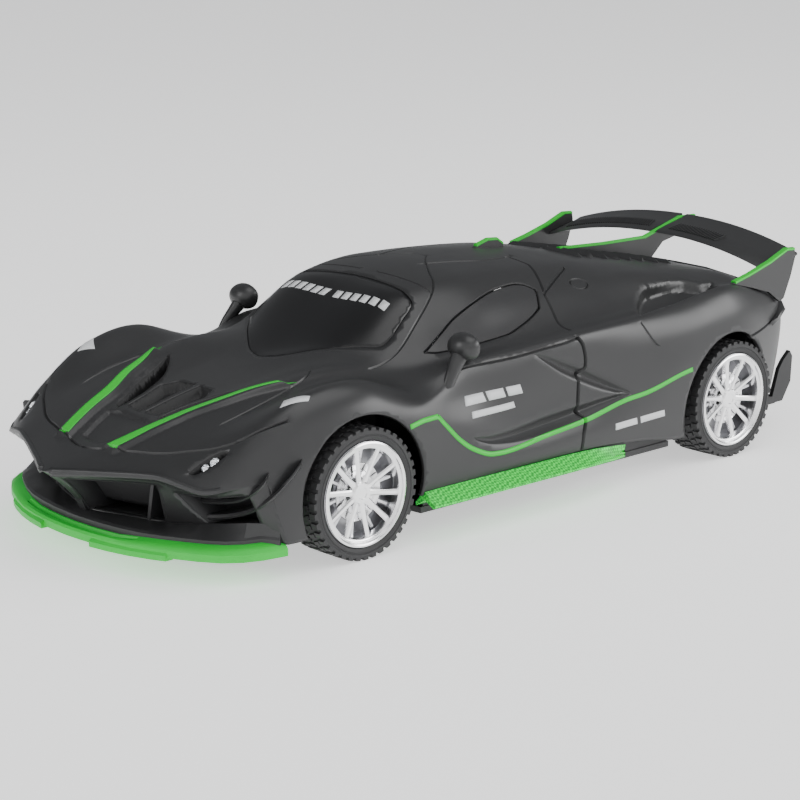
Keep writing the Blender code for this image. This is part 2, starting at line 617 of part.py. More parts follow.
def make_drive(looks):
    lay_x, lay_z = lay_place()
    motor_x, motor_z = motor_place()
    axle = rod(1.5, -49, 49, 12)
    place("rear_axle", axle, looks["steel"], (-AXLE_X, 0, TYRE_R))
    place("axle_gear", toothed(gear_outline(AXLE_TEETH, LAY_ANGLE), -10.6, -7.2, 1.8), looks["gear"],
          (-AXLE_X, 0, TYRE_R))
    small_turn = LAY_ANGLE + math.pi + math.pi / LAY_SMALL
    lay = place("compound_gear", toothed(gear_outline(LAY_SMALL, small_turn), -11.2, -6.6, 1.0),
                looks["gear"], (lay_x, 0, lay_z))
    wheel = toothed(gear_outline(LAY_TEETH, MOTOR_ANGLE), -14.2, -11.1, 1.0)
    join_with(lay, cutter("compound_wheel", wheel, (lay_x, 0, lay_z)), "UNION")
    pinion_turn = MOTOR_ANGLE + math.pi + math.pi / PINION_TEETH
    place("motor_pinion", toothed(gear_outline(PINION_TEETH, pinion_turn), -14.2, -9.6, 0.8),
          looks["brass"], (motor_x, 0, motor_z))
    place("compound_pin", rod(0.7, -17.6, -4.4, 10), looks["steel"], (lay_x, 0, lay_z))
    can = turned([(0.5, -14.0), (0.5, -5.2), (3, -5.2), (3, -4.2), (10, -4.2), (10, 20), (3, 20),
                  (3, 21.4), (0, 21.4)], 20)
    for corner in can.verts:
        corner.co.z = max(-7.5, min(7.5, corner.co.z))
    place("drive_motor", can, looks["steel"], (motor_x, 0, motor_z))
    case = place("gearbox_housing", box(-81, -44.4, -17, -4.6, FLOOR_TOP + 0.3, 33), looks["black"],
                 smooth=False)
    join_with(case, cutter("gearbox_inside", box(-79.5, -45.9, -15.5, -6.2, 0, 31.5)), "DIFFERENCE")
    for name, radius, x, z, y0, y1 in (("axle", 2.0, -AXLE_X, TYRE_R, -20, 0),
                                       ("pin", 1.0, lay_x, lay_z, -20, 0),
                                       ("motor", 3.4, motor_x, motor_z, -7, 0)):
        join_with(case, cutter(f"gearbox_{name}_hole", rod(radius, y0, y1, 14), (x, 0, z)), "DIFFERENCE")
    for side, name in ((1, "left"), (-1, "right")):
        bush = turned([(1.8, -2.2), (3.0, -2.2), (3.0, 2.2), (1.8, 2.2)], 16)
        place(f"rear_bush_{name}", bush, looks["brass"], (-AXLE_X, side * 26, TYRE_R))


def make_wheels(looks):
    tyre = turned([(13.35, -TYRE_HALF + 0.4), (14.6, -TYRE_HALF), (16.1, -TYRE_HALF + 0.7), (TYRE_R, 0),
                   (16.1, TYRE_HALF - 0.7), (14.6, TYRE_HALF), (13.35, TYRE_HALF - 0.4)], 32)
    rim = turned([(1.8, -5.2), (3.2, -5.2), (3.2, 1.0), (11.6, 3.6), (11.6, -6.0), (RIM_R, -6.0),
                  (RIM_R, 6.4), (11.6, 6.4), (11.4, 5.2), (3.2, 2.8), (1.8, 2.8)], 24)
    windows = []
    for k in range(10):
        middle = math.radians(36 * k + 18)
        reach = [(4.4, -0.24), (11.0, -0.245), (11.0, 0.245), (4.4, 0.24)]
        windows.append(prism([(r * math.cos(middle + a), r * math.sin(middle + a)) for r, a in reach],
                             -0.5, 8, "Y"))
    window_mesh = combine(*windows)
    bmesh.ops.recalc_face_normals(window_mesh, faces=window_mesh.faces)
    for end, x in (("front", AXLE_X), ("rear", -AXLE_X)):
        for side, name in ((1, "left"), (-1, "right")):
            at = (x, side * WHEEL_Y, TYRE_R)
            place(f"tyre_{end}_{name}", tyre.copy(), looks["rubber"], at)
            turn = rim.copy()
            holes = window_mesh.copy()
            if side < 0:
                for mesh in (turn, holes):
                    bmesh.ops.scale(mesh, vec=(1, -1, 1), verts=mesh.verts)
                    bmesh.ops.reverse_faces(mesh, faces=mesh.faces)
            made = place(f"rim_{end}_{name}", turn, looks["chrome"], at)
            join_with(made, cutter(f"windows_{end}_{name}", holes, at), "DIFFERENCE")


# ---------------------------------------------------------------- steering

def make_steering(looks):
    pin_x = AXLE_X - STEER_ARM
    lever_x = AXLE_X - 2 * STEER_ARM
    for side, name in ((1, "left"), (-1, "right")):
        at = (AXLE_X, side * KINGPIN_Y, 0)
        block = box(-3, 3, -2.4, 2.4, 8.2, 21.4)
        knuckle = place(f"steering_knuckle_{name}", block, looks["black"], at)
        king = rod(1.5, FLOOR_Z + 0.2, 23.2, 12, "Z")
        join_with(knuckle, cutter(f"kingpin_{name}", king, at), "UNION")
        stub = turned([(0, 0), (1.5, 0), (1.5, 15.4), (0.9, 15.4), (0.9, 9), (0, 9)], 12)
        if side < 0:
            bmesh.ops.scale(stub, vec=(1, -1, 1), verts=stub.verts)
            bmesh.ops.reverse_faces(stub, faces=stub.faces)
        join_with(knuckle, cutter(f"stub_axle_{name}", stub, (AXLE_X, side * KINGPIN_Y, TYRE_R)), "UNION")
        arm = box(-STEER_ARM - 2, 0, -1.8, 1.8, 15.4, 17.4)
        join_with(knuckle, cutter(f"steer_arm_{name}", arm, at), "UNION")
        peg = rod(1.1, 16, 20.6, 10, "Z")
        join_with(knuckle, cutter(f"arm_peg_{name}", peg, (pin_x, side * KINGPIN_Y, 0)), "UNION")
        screw = turned([(0, 15.9), (2.2, 15.9), (2.2, 16.7), (1.4, 17.3), (0, 17.3)], 12)
        shank = rod(0.6, 10, 16.4, 8)
        if side < 0:
            for mesh in (screw, shank):
                bmesh.ops.scale(mesh, vec=(1, -1, 1), verts=mesh.verts)
                bmesh.ops.reverse_faces(mesh, faces=mesh.faces)
        hub = (AXLE_X, side * KINGPIN_Y, TYRE_R)
        cap = place(f"wheel_screw_{name}", screw, looks["steel"], hub)
        join_with(cap, cutter(f"wheel_shank_{name}", shank, hub), "UNION")
    bar = place("tie_rod", box(pin_x - 3, pin_x + 3, -34.5, 34.5, 17.9, 19.7), looks["black"])
    for y, way in ((-KINGPIN_Y, 1), (0, -1), (KINGPIN_Y, 1)):
        slot = box(pin_x + way * 0.2 - 1.7, pin_x + way * 0.2 + 1.7, y - 1.5, y + 1.5, 16, 22)
        join_with(bar, cutter(f"rod_slot_{y:.0f}", slot), "DIFFERENCE")
    teeth = SECTOR_TEETH
    sector = gear_outline(teeth, math.pi, -5, 6)
    outline = sector + [(1.0, -2.6), (STEER_ARM + 1.6, -1.5), (STEER_ARM + 1.6, 1.5), (1.0, 2.6)]
    lever = place("steering_lever", prism(outline, 20.9, 22.9), looks["gear"], (lever_x, 0, 0))
    hole = cutter("lever_bore", rod(1.8, 15, 26, 12, "Z"), (lever_x, 0, 0))
    join_with(lever, hole, "DIFFERENCE")
    peg = cutter("lever_peg", rod(1.1, 18.2, 21.8, 10, "Z"), (pin_x, 0, 0))
    join_with(lever, peg, "UNION")
    pinion_x = lever_x - MODULE * (teeth + PINION_TEETH) / 2
    pinion = prism(gear_outline(PINION_TEETH, math.pi / PINION_TEETH), 20.6, 24.0)
    gear = place("steering_pinion", pinion, looks["brass"], (pinion_x, 0, 0))
    join_with(gear, cutter("pinion_bore", rod(0.8, 15, 26, 8, "Z"), (pinion_x, 0, 0)), "DIFFERENCE")
    motor = turned([(0, 21), (0.5, 21), (0.5, 25), (5.6, 25), (6, 25.4), (6, 40), (5.6, 40.4), (0, 40.4)],
                   16, "Z")
    place("steering_motor", motor, looks["steel"], (pinion_x, 0, 0))
    frame = place("steering_bracket", box(pinion_x - 3, lever_x + 4, -13, 13, 24.4, 25.9), looks["black"],
                  smooth=False)
    for side in (1, -1):
        for x in (pinion_x - 3, lever_x + 1):
            leg = box(x, x + 3, side * 13 - 1.2, side * 13 + 1.2, FLOOR_TOP + 0.3, 25.5)
            join_with(frame, cutter(f"bracket_leg_{x:.0f}_{side}", leg), "UNION")
    join_with(frame, cutter("motor_hole", rod(6.3, 20, 30, 18, "Z"), (pinion_x, 0, 0)), "DIFFERENCE")
    bridge = place("front_axle_bridge", box(AXLE_X - 4, AXLE_X + 4, -35.2, 35.2, 21.8, 23.6), looks["black"],
                   smooth=False)
    for side in (1, -1):
        leg = box(AXLE_X - 3, AXLE_X + 3, side * 23 - 1.5, side * 23 + 1.5, FLOOR_TOP + 0.3, 23)
        join_with(bridge, cutter(f"bridge_leg_{side}", leg), "UNION")
        hole = rod(1.8, 15, 30, 12, "Z")
        join_with(bridge, cutter(f"bridge_bore_{side}", hole, (AXLE_X, side * KINGPIN_Y, 0)), "DIFFERENCE")


def make_screws(looks):
    for (x, y), end in zip(BOSSES, ("rear", "front")):
        for side, name in ((1, "left"), (-1, "right")):
            screw = turned([(0, 4.4), (2.2, 4.4), (2.2, 5.7), (0.8, 5.7), (0.8, 15), (0, 15.6)], 12, "Z")
            place(f"body_screw_{end}_{name}", screw, looks["steel"], (x, side * y, 0))


def build():
    looks = materials()
    skin = body_surface()
    tree = BVHTree.FromBMesh(skin)
    shell = make_body(skin, tree, looks)
    make_windscreen(skin, looks)
    make_front_trim(shell, looks)
    make_skirts(looks)
    make_wing(tree, looks)
    make_mirrors(tree, looks)
    make_diffuser(looks)
    make_chassis(looks)
    make_power(looks)
    make_drive(looks)
    make_wheels(looks)
    make_steering(looks)
    make_screws(looks)
    skin.free()


clear_scene()
CAR = bpy.data.objects.new("car", None)
bpy.context.scene.collection.objects.link(CAR)
CAR.location = (SHIFT_X * MM, 0, 0)
build()
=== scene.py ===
"""Looks of the remote control car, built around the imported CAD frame.

Shapes are drawn in millimetres from the middle of the wheelbase: +X forward, +Y to the car's left,
+Z up. SHIFT_X moves them to the frame, whose origin is the middle of the overall length.
"""

import math

import bmesh
import bpy
import numpy as np
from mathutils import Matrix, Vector
from mathutils.geometry import delaunay_2d_cdt


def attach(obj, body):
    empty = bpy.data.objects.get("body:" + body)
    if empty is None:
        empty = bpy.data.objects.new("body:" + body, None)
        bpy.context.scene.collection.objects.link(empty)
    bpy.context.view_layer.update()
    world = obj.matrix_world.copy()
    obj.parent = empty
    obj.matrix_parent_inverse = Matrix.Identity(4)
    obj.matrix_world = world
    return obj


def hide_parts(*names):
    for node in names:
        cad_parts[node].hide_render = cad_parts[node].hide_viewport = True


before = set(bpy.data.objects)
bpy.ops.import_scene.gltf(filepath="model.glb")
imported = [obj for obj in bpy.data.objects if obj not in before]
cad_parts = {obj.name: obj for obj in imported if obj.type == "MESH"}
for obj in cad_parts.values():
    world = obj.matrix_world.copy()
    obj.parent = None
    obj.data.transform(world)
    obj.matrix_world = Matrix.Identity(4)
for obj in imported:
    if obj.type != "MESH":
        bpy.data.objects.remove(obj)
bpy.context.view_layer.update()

MM = 0.001
SHIFT_X = -7.95
AXLE_X = 69.25
WHEEL_Z = 16.5
WHEEL_Y = 44.75
ARCHES = {"front": (68.6, 19.5), "rear": (-67.9, 19.5)}      # centre X and radius of each wheel arch
WALL = 1.3                                                  # shell thickness
SIDES = ((1, "left"), (-1, "right"))

# Feature lines of the body's left half, tail to nose, at thirteen stations.
BODY_LINES = np.array([
    [(-97, 40, 10.5), (-88, 46, 9.5), (-69, 49.5, 9), (-48, 50, 9), (-30, 50, 11.5), (-9, 49.8, 12.6),
     (12, 49.8, 12.8), (31, 49.8, 12.6), (49, 49.6, 12), (68, 49.4, 10), (84, 49.5, 8.5),
     (89, 49.6, 8.5), (92.5, 49.3, 8.5)],
    [(-99, 41, 18), (-88, 47, 18), (-69, 50.8, 19), (-48, 51, 18), (-30, 50.8, 18), (-9, 50.2, 17.5),
     (12, 50, 17), (31, 50.2, 18), (49, 50.4, 19), (68, 50.6, 19), (84, 49.9, 16.5),
     (90, 49.4, 16), (95, 48.6, 15.8)],
    [(-100, 42, 26), (-88, 47.3, 27), (-69, 51.6, 29), (-48, 51.6, 28), (-30, 50.4, 24.6),
     (-9, 48.6, 24), (12, 47.6, 24.5), (31, 48.6, 26.5), (49, 50.2, 28), (68, 51.4, 29.5),
     (84, 49.9, 27), (91, 48.9, 25), (97.5, 47.2, 24)],
    [(-100, 42.6, 33), (-88, 46.6, 36), (-69, 50.2, 40), (-48, 50.4, 38), (-29, 49, 36.5),
     (-9, 47.6, 35), (12, 46.6, 33.5), (30, 46.2, 33), (49, 48.6, 34), (68, 49.6, 38),
     (84, 48.2, 34), (95, 46.6, 29), (105, 44.2, 23.3)],
    [(-99, 42, 39.4), (-88, 43, 44.2), (-69, 45, 47.9), (-47, 46, 45.3), (-30, 46.4, 43.8),
     (-9, 46.2, 42.8), (10, 45.2, 41.4), (28, 44, 41), (45, 43.6, 37), (66, 43.2, 43),
     (83, 42.2, 41), (98, 40, 33.2), (110.2, 40, 22.3)],
    [(-100, 34, 41), (-88, 35, 45), (-69, 36, 46.2), (-48, 37, 44.5), (-30, 38.5, 45.2),
     (-9, 38, 44.8), (10, 37.5, 43.8), (28, 36.6, 42), (47, 33.5, 39.6), (65, 31, 40.2),
     (82, 29.5, 37.6), (100, 29, 32.6), (115.5, 27.6, 24.8)],
    [(-101, 24, 43), (-88, 25, 47.3), (-69, 25, 50), (-48, 27, 52.2), (-30, 29, 52.6),
     (-11, 29.5, 52.4), (9, 30, 52.4), (28, 28.2, 50.2), (47, 26.4, 42.4), (66, 24.6, 41.4),
     (84, 21, 37.8), (101, 18, 32.8), (119.6, 18, 24.3)],
    [(-102, 12, 44.2), (-88, 13, 47.4), (-70, 14, 50.6), (-50, 16, 54), (-30, 19, 56.6),
     (-10, 20, 57.7), (8, 20, 58.2), (30, 18.5, 55.4), (50, 13, 44.6), (67, 11, 38.8),
     (85, 10.2, 35.6), (102, 9.6, 31.8), (123.8, 9, 23.7)],
    [(-102, 0, 44.6), (-88, 0, 47.2), (-70, 0, 51), (-50, 0, 54.6), (-30, 0, 58), (-10, 0, 59.8),
     (8, 0, 60), (30, 0, 56.4), (52, 0, 43.6), (68, 0, 38.6), (86, 0, 35.2), (103, 0, 31),
     (127.4, 0, 23.1)],
], float)
CENTRE_LINE, RIGHT_SILL = 8, 16       # among the lines of the whole body, counted from the left sill
NOSE_BELLY, NOSE_TOE = (119.6, 0, 16.5), (114.5, 0, 9.6)
TAIL_BELLY, TAIL_TOE = (-99, 0, 30), (-99.5, 0, 11)

SCREEN = [(60.3, 0), (58.3, 6), (51.8, 15), (45.4, 22), (41.2, 26.2), (34.5, 25.6),
          (28.4, 23.6), (26.6, 12), (26.2, 0)]


# ---------------------------------------------------------------- materials

GRAIN_SCALE = 1 / (0.25 * MM)     # bumps of a moulded surface, a quarter of a millimetre apart
GRAIN_HEIGHT = 0.02 * MM


def link(tree, a, out, b, into):
    tree.links.new(a.outputs[out], b.inputs[into])


def add_noise(tree, place, scale, detail):
    noise = tree.nodes.new("ShaderNodeTexNoise")
    noise.inputs["Scale"].default_value = scale
    noise.inputs["Detail"].default_value = detail
    link(tree, place, "Object", noise, "Vector")
    return noise


def finish(name, colour, roughness, metallic=0.0, mottle=0.0, grain=0.0, smear=0.0, weave=0.0):
    """A Principled material with colour mottling, roughness smear and a fine surface grain."""
    made = bpy.data.materials.new(name)
    made.use_nodes = True
    tree = made.node_tree
    shader = tree.nodes["Principled BSDF"]
    shader.inputs["Base Color"].default_value = (*colour, 1)
    shader.inputs["Roughness"].default_value = roughness
    shader.inputs["Metallic"].default_value = metallic
    place = tree.nodes.new("ShaderNodeTexCoord")
    if mottle:
        mix = tree.nodes.new("ShaderNodeMix")
        mix.data_type = "RGBA"
        mix.inputs["A"].default_value = (*[c * (1 - mottle) for c in colour], 1)
        mix.inputs["B"].default_value = (*[min(1, c * (1 + mottle)) for c in colour], 1)
        link(tree, add_noise(tree, place, 90, 4), "Fac", mix, "Factor")
        link(tree, mix, "Result", shader, "Base Color")
    if smear:
        ramp = tree.nodes.new("ShaderNodeMapRange")
        ramp.inputs["To Min"].default_value = max(0.02, roughness - smear)
        ramp.inputs["To Max"].default_value = roughness + smear
        link(tree, add_noise(tree, place, 160, 6), "Fac", ramp, "Value")
        link(tree, ramp, "Result", shader, "Roughness")
    if grain:
        bump = tree.nodes.new("ShaderNodeBump")
        bump.inputs["Strength"].default_value = grain
        bump.inputs["Distance"].default_value = GRAIN_HEIGHT
        link(tree, add_noise(tree, place, GRAIN_SCALE, 2), "Fac", bump, "Height")
        link(tree, bump, "Normal", shader, "Normal")
    if weave:
        add_weave(tree, place, shader, colour, weave)
    return made


def add_weave(tree, place, shader, colour, pitch_mm):
    """A twill of small diagonal cells in the paint, as a printed carbon weave shows."""
    cells = tree.nodes.new("ShaderNodeTexChecker")
    cells.inputs["Scale"].default_value = 1 / (pitch_mm * MM)
    cells.inputs["Color1"].default_value = (*[min(1, c * 1.45 + 0.01) for c in colour], 1)
    cells.inputs["Color2"].default_value = (*[c * 0.6 for c in colour], 1)
    turn = tree.nodes.new("ShaderNodeMapping")
    turn.inputs["Rotation"].default_value = (0.3, 0.2, math.radians(38))
    link(tree, place, "Object", turn, "Vector")
    link(tree, turn, "Vector", cells, "Vector")
    link(tree, cells, "Color", shader, "Base Color")


# ---------------------------------------------------------------- mesh helpers

def to_frame(points):
    return (np.asarray(points, float) + (SHIFT_X, 0, 0)) * MM


def settle(name, mesh, look, node="", smooth=30, body="car"):
    """A piece riding on a body, in place of a CAD node if it is named."""
    made = bpy.data.objects.new(name.replace(" ", "_"), mesh)
    bpy.context.scene.collection.objects.link(made)
    mesh.materials.append(look)
    mesh.shade_smooth()
    mesh.set_sharp_from_angle(angle=math.radians(smooth))
    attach(made, body)
    if node:
        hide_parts(node)
    return made


def from_bmesh(name, made, look, node="", smooth=30, body="car"):
    """The same, from a bmesh in millimetres."""
    bmesh.ops.recalc_face_normals(made, faces=made.faces)
    for v in made.verts:
        v.co = Vector(to_frame(v.co))
    mesh = bpy.data.meshes.new(name)
    made.to_mesh(mesh)
    made.free()
    return settle(name, mesh, look, node, smooth, body)


def add_wall(piece, thickness, offset):
    step = piece.modifiers.new("wall", "SOLIDIFY")
    step.thickness = thickness * MM
    step.offset = offset
    return piece


def prism(outline, low, high, axis="Z", into=None):
    """A straight extrusion of a flat outline along an axis, added to a bmesh."""
    turn = {"Z": lambda a, b, c: (a, b, c), "X": lambda a, b, c: (c, a, b),
            "Y": lambda a, b, c: (a, c, b)}[axis]
    made = into or bmesh.new()
    ends = [[made.verts.new(turn(a, b, c)) for a, b in outline] for c in (low, high)]
    made.faces.new(ends[0][::-1])
    made.faces.new(ends[1])
    for i in range(len(outline)):
        j = (i + 1) % len(outline)
        made.faces.new((ends[0][i], ends[0][j], ends[1][j], ends[1][i]))
    return made


def loft(rings, into=None):
    """Walls between closed rings of equal length, with a cap on each end."""
    made = into or bmesh.new()
    rows = [[made.verts.new(tuple(p)) for p in ring] for ring in rings]
    count = len(rows[0])
    for a, b in zip(rows, rows[1:]):
        for i in range(count):
            made.faces.new((a[i], a[(i + 1) % count], b[(i + 1) % count], b[i]))
    made.faces.new(rows[0][::-1])
    made.faces.new(rows[-1])
    return made


def loft_side(rings, side, into=None):
    """A loft whose rings were drawn for the left side, put on either side."""
    return loft(rings if side > 0 else rings[::-1], into)


def wheel_turn(steps):
    """Angles of evenly spaced steps of a number of degrees around a circle."""
    return np.radians(np.arange(0, 360, steps))


def turned(profile, segments, centre=(0, 0, 0), axis="Y", into=None):
    """A closed solid turned from (radius, along) points about an axis through a centre."""
    made = into or bmesh.new()
    cx, cy, cz = centre
    put = {"Y": lambda r, a, c, s: (cx + r * c, cy + a, cz + r * s),
           "Z": lambda r, a, c, s: (cx + r * c, cy + r * s, cz + a)}[axis]
    rings = []
    for radius, along in profile:
        if radius == 0:
            rings.append([made.verts.new(put(0, along, 1, 0))] * segments)
        else:
            rings.append([made.verts.new(put(radius, along, math.cos(2 * math.pi * k / segments),
                                             math.sin(2 * math.pi * k / segments)))
                          for k in range(segments)])
    for i in range(len(rings)):
        here, after = rings[i], rings[(i + 1) % len(rings)]
        for k in range(segments):
            corners = list(dict.fromkeys((here[k], here[k - 1], after[k - 1], after[k])))
            if len(corners) > 2:
                made.faces.new(corners)
    return made


# ---------------------------------------------------------------- body surface

def slopes(x, y):
    """Modified Akima slopes, which keep a curve calm beside a sharp change."""
    rise = np.diff(y, axis=0) / np.diff(x)[:, None]
    rise = np.vstack([3 * rise[0] - 2 * rise[1], 2 * rise[0] - rise[1], rise,
                      2 * rise[-1] - rise[-2], 3 * rise[-1] - 2 * rise[-2]])
    weight = np.abs(np.diff(rise, axis=0)) + np.abs(rise[:-1] + rise[1:]) / 2
    total = weight[2:] + weight[:-2]
    total[total < 1e-12] = 1
    return (weight[2:] * rise[1:-2] + weight[:-2] * rise[2:-1]) / total


def hermite(width, u, a, b, ta, tb):
    return (a * (1 - u) ** 2 * (1 + 2 * u) + b * u * u * (3 - 2 * u)
            + ta * width * u * (1 - u) ** 2 - tb * width * u * u * (1 - u))


def through(x, y, at):
    """A smooth curve through the points y at x, read at the places given."""
    x, y, at = np.asarray(x, float), np.asarray(y, float), np.asarray(at, float)
    slope = slopes(x, y)
    k = np.clip(np.searchsorted(x, at, side="right") - 1, 0, len(x) - 2)
    width = (x[k + 1] - x[k])[:, None]
    return hermite(width, (at - x[k])[:, None] / width, y[k], y[k + 1], slope[k], slope[k + 1])


def body_at(s, v):
    """Body points at stations s (0 tail to 12 lip) and lines v (0 left sill, 8 centre, 16 right sill)."""
    s, v = np.asarray(s, float), np.asarray(v, float)
    mirror = v > CENTRE_LINE
    v = np.where(mirror, RIGHT_SILL - v, v)
    along = np.arange(BODY_LINES.shape[1], dtype=float)
    lines = np.array([through(along, line, s) for line in BODY_LINES])
    right = lines[::-1][1:] * (1, -1, 1)
    lines = np.concatenate([lines, right])
    count = len(s)
    slope = slopes(np.arange(lines.shape[0], dtype=float), lines.reshape(lines.shape[0], -1))
    slope = slope.reshape(lines.shape[0], count, 3)
    k = np.clip(np.floor(v).astype(int), 0, lines.shape[0] - 2)
    i = np.arange(count)
    points = hermite(1.0, (v - k)[:, None], lines[k, i], lines[k + 1, i], slope[k, i], slope[k + 1, i])
    points[mirror, 1] *= -1
    return points


def fascia(top, side, belly, toe):
    """The same hung face as in the CAD: top edge and side edge given as functions of 0..1."""
    def at(t, w):
        t, w = np.asarray(t, float), np.asarray(w, float)
        top_t, side_w = top(t), side(w)
        centre = through([0, 0.5, 1], np.array([top(np.ones(1))[0], belly, toe], float), w)
        corner, toe_point = side(np.ones(1))[0], np.array(toe, float)
        def bottom(q):
            line = corner * (1 - q)[:, None] + toe_point * q[:, None]
            line[:, 0] += np.sin(np.pi * q) * 0.12 * abs(corner[0] - toe[0]) * np.sign(toe[0])
            return line
        t1, w1 = t[:, None], w[:, None]
        start, end = top(np.zeros(1))[0], top(np.ones(1))[0]
        corners = ((1 - w1) * ((1 - t1) * start + t1 * end)
                   + w1 * ((1 - t1) * bottom(np.zeros(1))[0] + t1 * bottom(np.ones(1))[0]))
        return (1 - w1) * top_t + w1 * bottom(t) + (1 - t1) * side_w + t1 * centre - corners
    return at


def nose_at(t, w):
    return fascia(lambda q: body_at(np.full(len(q), 12.0), 2 + 6 * q),
                  lambda q: body_at(np.full(len(q), 12.0), 2 - 2 * q), NOSE_BELLY, NOSE_TOE)(t, w)


def tail_at(t, w):
    return fascia(lambda q: body_at(np.zeros(len(q)), 4 + 4 * q),
                  lambda q: body_at(np.zeros(len(q)), 4 - 4 * q), TAIL_BELLY, TAIL_TOE)(t, w)


NUDGE = 1e-3              # step in the parameters for measuring slopes
STEEP = 1.6               # a hollow's wall narrower than this gets an inner line, in millimetres
NEAR_CENTRE = 0.03        # a place this close to the centre line is put on it
CLEARING = 0.55           # share of the grid step kept free beside a drawn line
FILLING = 0.45            # step of the extra points in a hollow, as a share of the grid step
SLIVER = 1e-5             # triangles with less area than this are left out


def smoothstep(u):
    return u * u * (3 - 2 * u)


class Sheet:
    """A surface over a rectangle of two parameters, cut along lines and raised or sunk in places."""

    def __init__(self, at, size, scale, look_up, out):
        self.at = at
        self.out = np.array(out, float)              # which way the outside faces, about
        self.size = np.array(size, float)
        self.scale = np.array(scale, float)          # millimetres per unit, about
        self.look_up = look_up                       # part of the rectangle searched for places
        self.lines = []
        self.reliefs = []
        self.table = None

    def find(self, places, axes):
        """Parameters of the points that two of their three coordinates name."""
        if self.table is None:
            (a0, a1), (b0, b1) = self.look_up
            a, b = np.meshgrid(np.linspace(a0, a1, 500), np.linspace(b0, b1, 400), indexing="ij")
            self.table = np.stack([a.ravel(), b.ravel()], 1)
            self.spots = self.at(a.ravel(), b.ravel())
        found = []
        for place in np.asarray(places, float):
            near = self.table[np.argmin(((self.spots[:, axes] - place) ** 2).sum(1))]
            for _ in range(3):
                here = self.at(near[:1], near[1:])[0][axes]
                da = (self.at(near[:1] + NUDGE, near[1:])[0][axes] - here) / NUDGE
                db = (self.at(near[:1], near[1:] + NUDGE)[0][axes] - here) / NUDGE
                grid = np.array([da, db]).T
                if abs(np.linalg.det(grid)) < 1e-3:
                    break
                near = np.clip(near + np.clip(np.linalg.solve(grid, place - here), -0.2, 0.2), 0, self.size)
            found.append(near)
        found = np.array(found)
        if self.size[1] > CENTRE_LINE:
            found[np.abs(found[:, 1] - CENTRE_LINE) < NEAR_CENTRE, 1] = CENTRE_LINE
        return found

    def path(self, places, axes, smooth=True, step=0.8):
        """A dense run of parameters along a curve through the places."""
        control = self.find(places, axes)
        spots = self.at(control[:, 0], control[:, 1])
        length = np.concatenate([[0], np.cumsum(np.linalg.norm(np.diff(spots, axis=0), axis=1))])
        count = max(2, int(length[-1] / step) + 1)
        at = np.linspace(0, length[-1], count)
        if smooth and len(places) > 2:
            return np.clip(through(length, control, at), 0, self.size)
        return np.stack([np.interp(at, length, control[:, i]) for i in (0, 1)], 1)

    def slopes_at(self, p):
        """How far the surface moves over two nudges of either parameter."""
        (s, v), (long, wide) = p.T, self.size
        return (self.at(np.clip(s + NUDGE, 0, long), v) - self.at(np.clip(s - NUDGE, 0, long), v),
                self.at(s, np.clip(v + NUDGE, 0, wide)) - self.at(s, np.clip(v - NUDGE, 0, wide)))

    def offset(self, path, amount):
        """The path moved sideways on the surface by a distance in millimetres."""
        a, b = [move / (2 * NUDGE) for move in self.slopes_at(path)]
        along = np.gradient(self.at(path[:, 0], path[:, 1]), axis=0)
        normal = np.cross(a, b)
        side = np.cross(normal, along)
        side /= np.linalg.norm(side, axis=1)[:, None] + 1e-12
        g11, g12, g22 = (a * a).sum(1), (a * b).sum(1), (b * b).sum(1)
        r1, r2 = (a * side).sum(1), (b * side).sum(1)
        det = g11 * g22 - g12 ** 2
        move = np.stack([(g22 * r1 - g12 * r2) / det, (g11 * r2 - g12 * r1) / det], 1)
        move = move * np.reshape(amount, (-1, 1))
        return np.clip(path + np.clip(move, -0.5, 0.5), 0, self.size)

    def both(self, path):
        """The path and, on the whole body, its mirror image."""
        if self.size[1] < RIGHT_SILL:
            return [path]
        return [path, np.stack([path[:, 0], RIGHT_SILL - path[:, 1]], 1)]

    def groove(self, places, axes, width, depth, smooth=True):
        """A narrow V along a curve; a negative depth makes a ridge."""
        path = self.path(places, axes, smooth)
        for run in self.both(path):
            self.lines += [run, self.offset(run, width / 2), self.offset(run, -width / 2)]
            self.reliefs.append(("groove", run, width / 2, depth))

    def valley(self, places, axes, half, depth):
        """A soft trough along a curve, thinning towards both ends."""
        path = self.path(places, axes)
        taper = 0.12 + 0.88 * np.sin(np.pi * np.linspace(0, 1, len(path))) ** 0.7
        for run in self.both(path):
            for part in (-1, -0.75, -0.5, -0.25, 0, 0.25, 0.5, 0.75, 1):
                self.lines.append(self.offset(run, half * part * taper))
            self.reliefs.append(("valley", run, half * taper, depth * taper))

    def loop(self, runs, axes):
        """A closed outline from several smooth runs of places."""
        return np.concatenate([self.path(run, axes, len(run) > 2)[:-1] for run in runs])

    def hollow(self, runs, axes, depth, slope):
        """A sunk region with walls that slope over a width; a negative depth raises it."""
        outline = self.loop(runs, axes)
        for ring in self.both(outline):
            closed = np.vstack([ring, ring[:1]])
            self.lines += [closed]
            if slope < STEEP:
                area = np.sum(ring[:, 0] * np.roll(ring[:, 1], -1) - ring[:, 1] * np.roll(ring[:, 0], -1))
                self.lines += [self.offset(closed, slope * (1 if area > 0 else -1))]
            self.reliefs.append(("hollow", ring, slope, depth))
        return self.both(outline)

    def hollow_across(self, places, axes, depth, slope):
        """A sunk region over the centre line, from its left half."""
        left = np.concatenate([self.path([a, b], axes)[:-1] for a, b in zip(places, places[1:])])
        ring = np.concatenate([left, self.both(left)[1][::-1]])
        self.lines.append(np.vstack([ring, ring[:1]]))
        self.reliefs.append(("hollow", ring, slope, depth))

    def region(self, runs, axes, closed=True):
        """An outline whose faces can be picked out later."""
        rings = self.both(self.loop(runs, axes))
        self.lines += [np.vstack([ring, ring[:1]]) if closed else ring for ring in rings]
        return rings

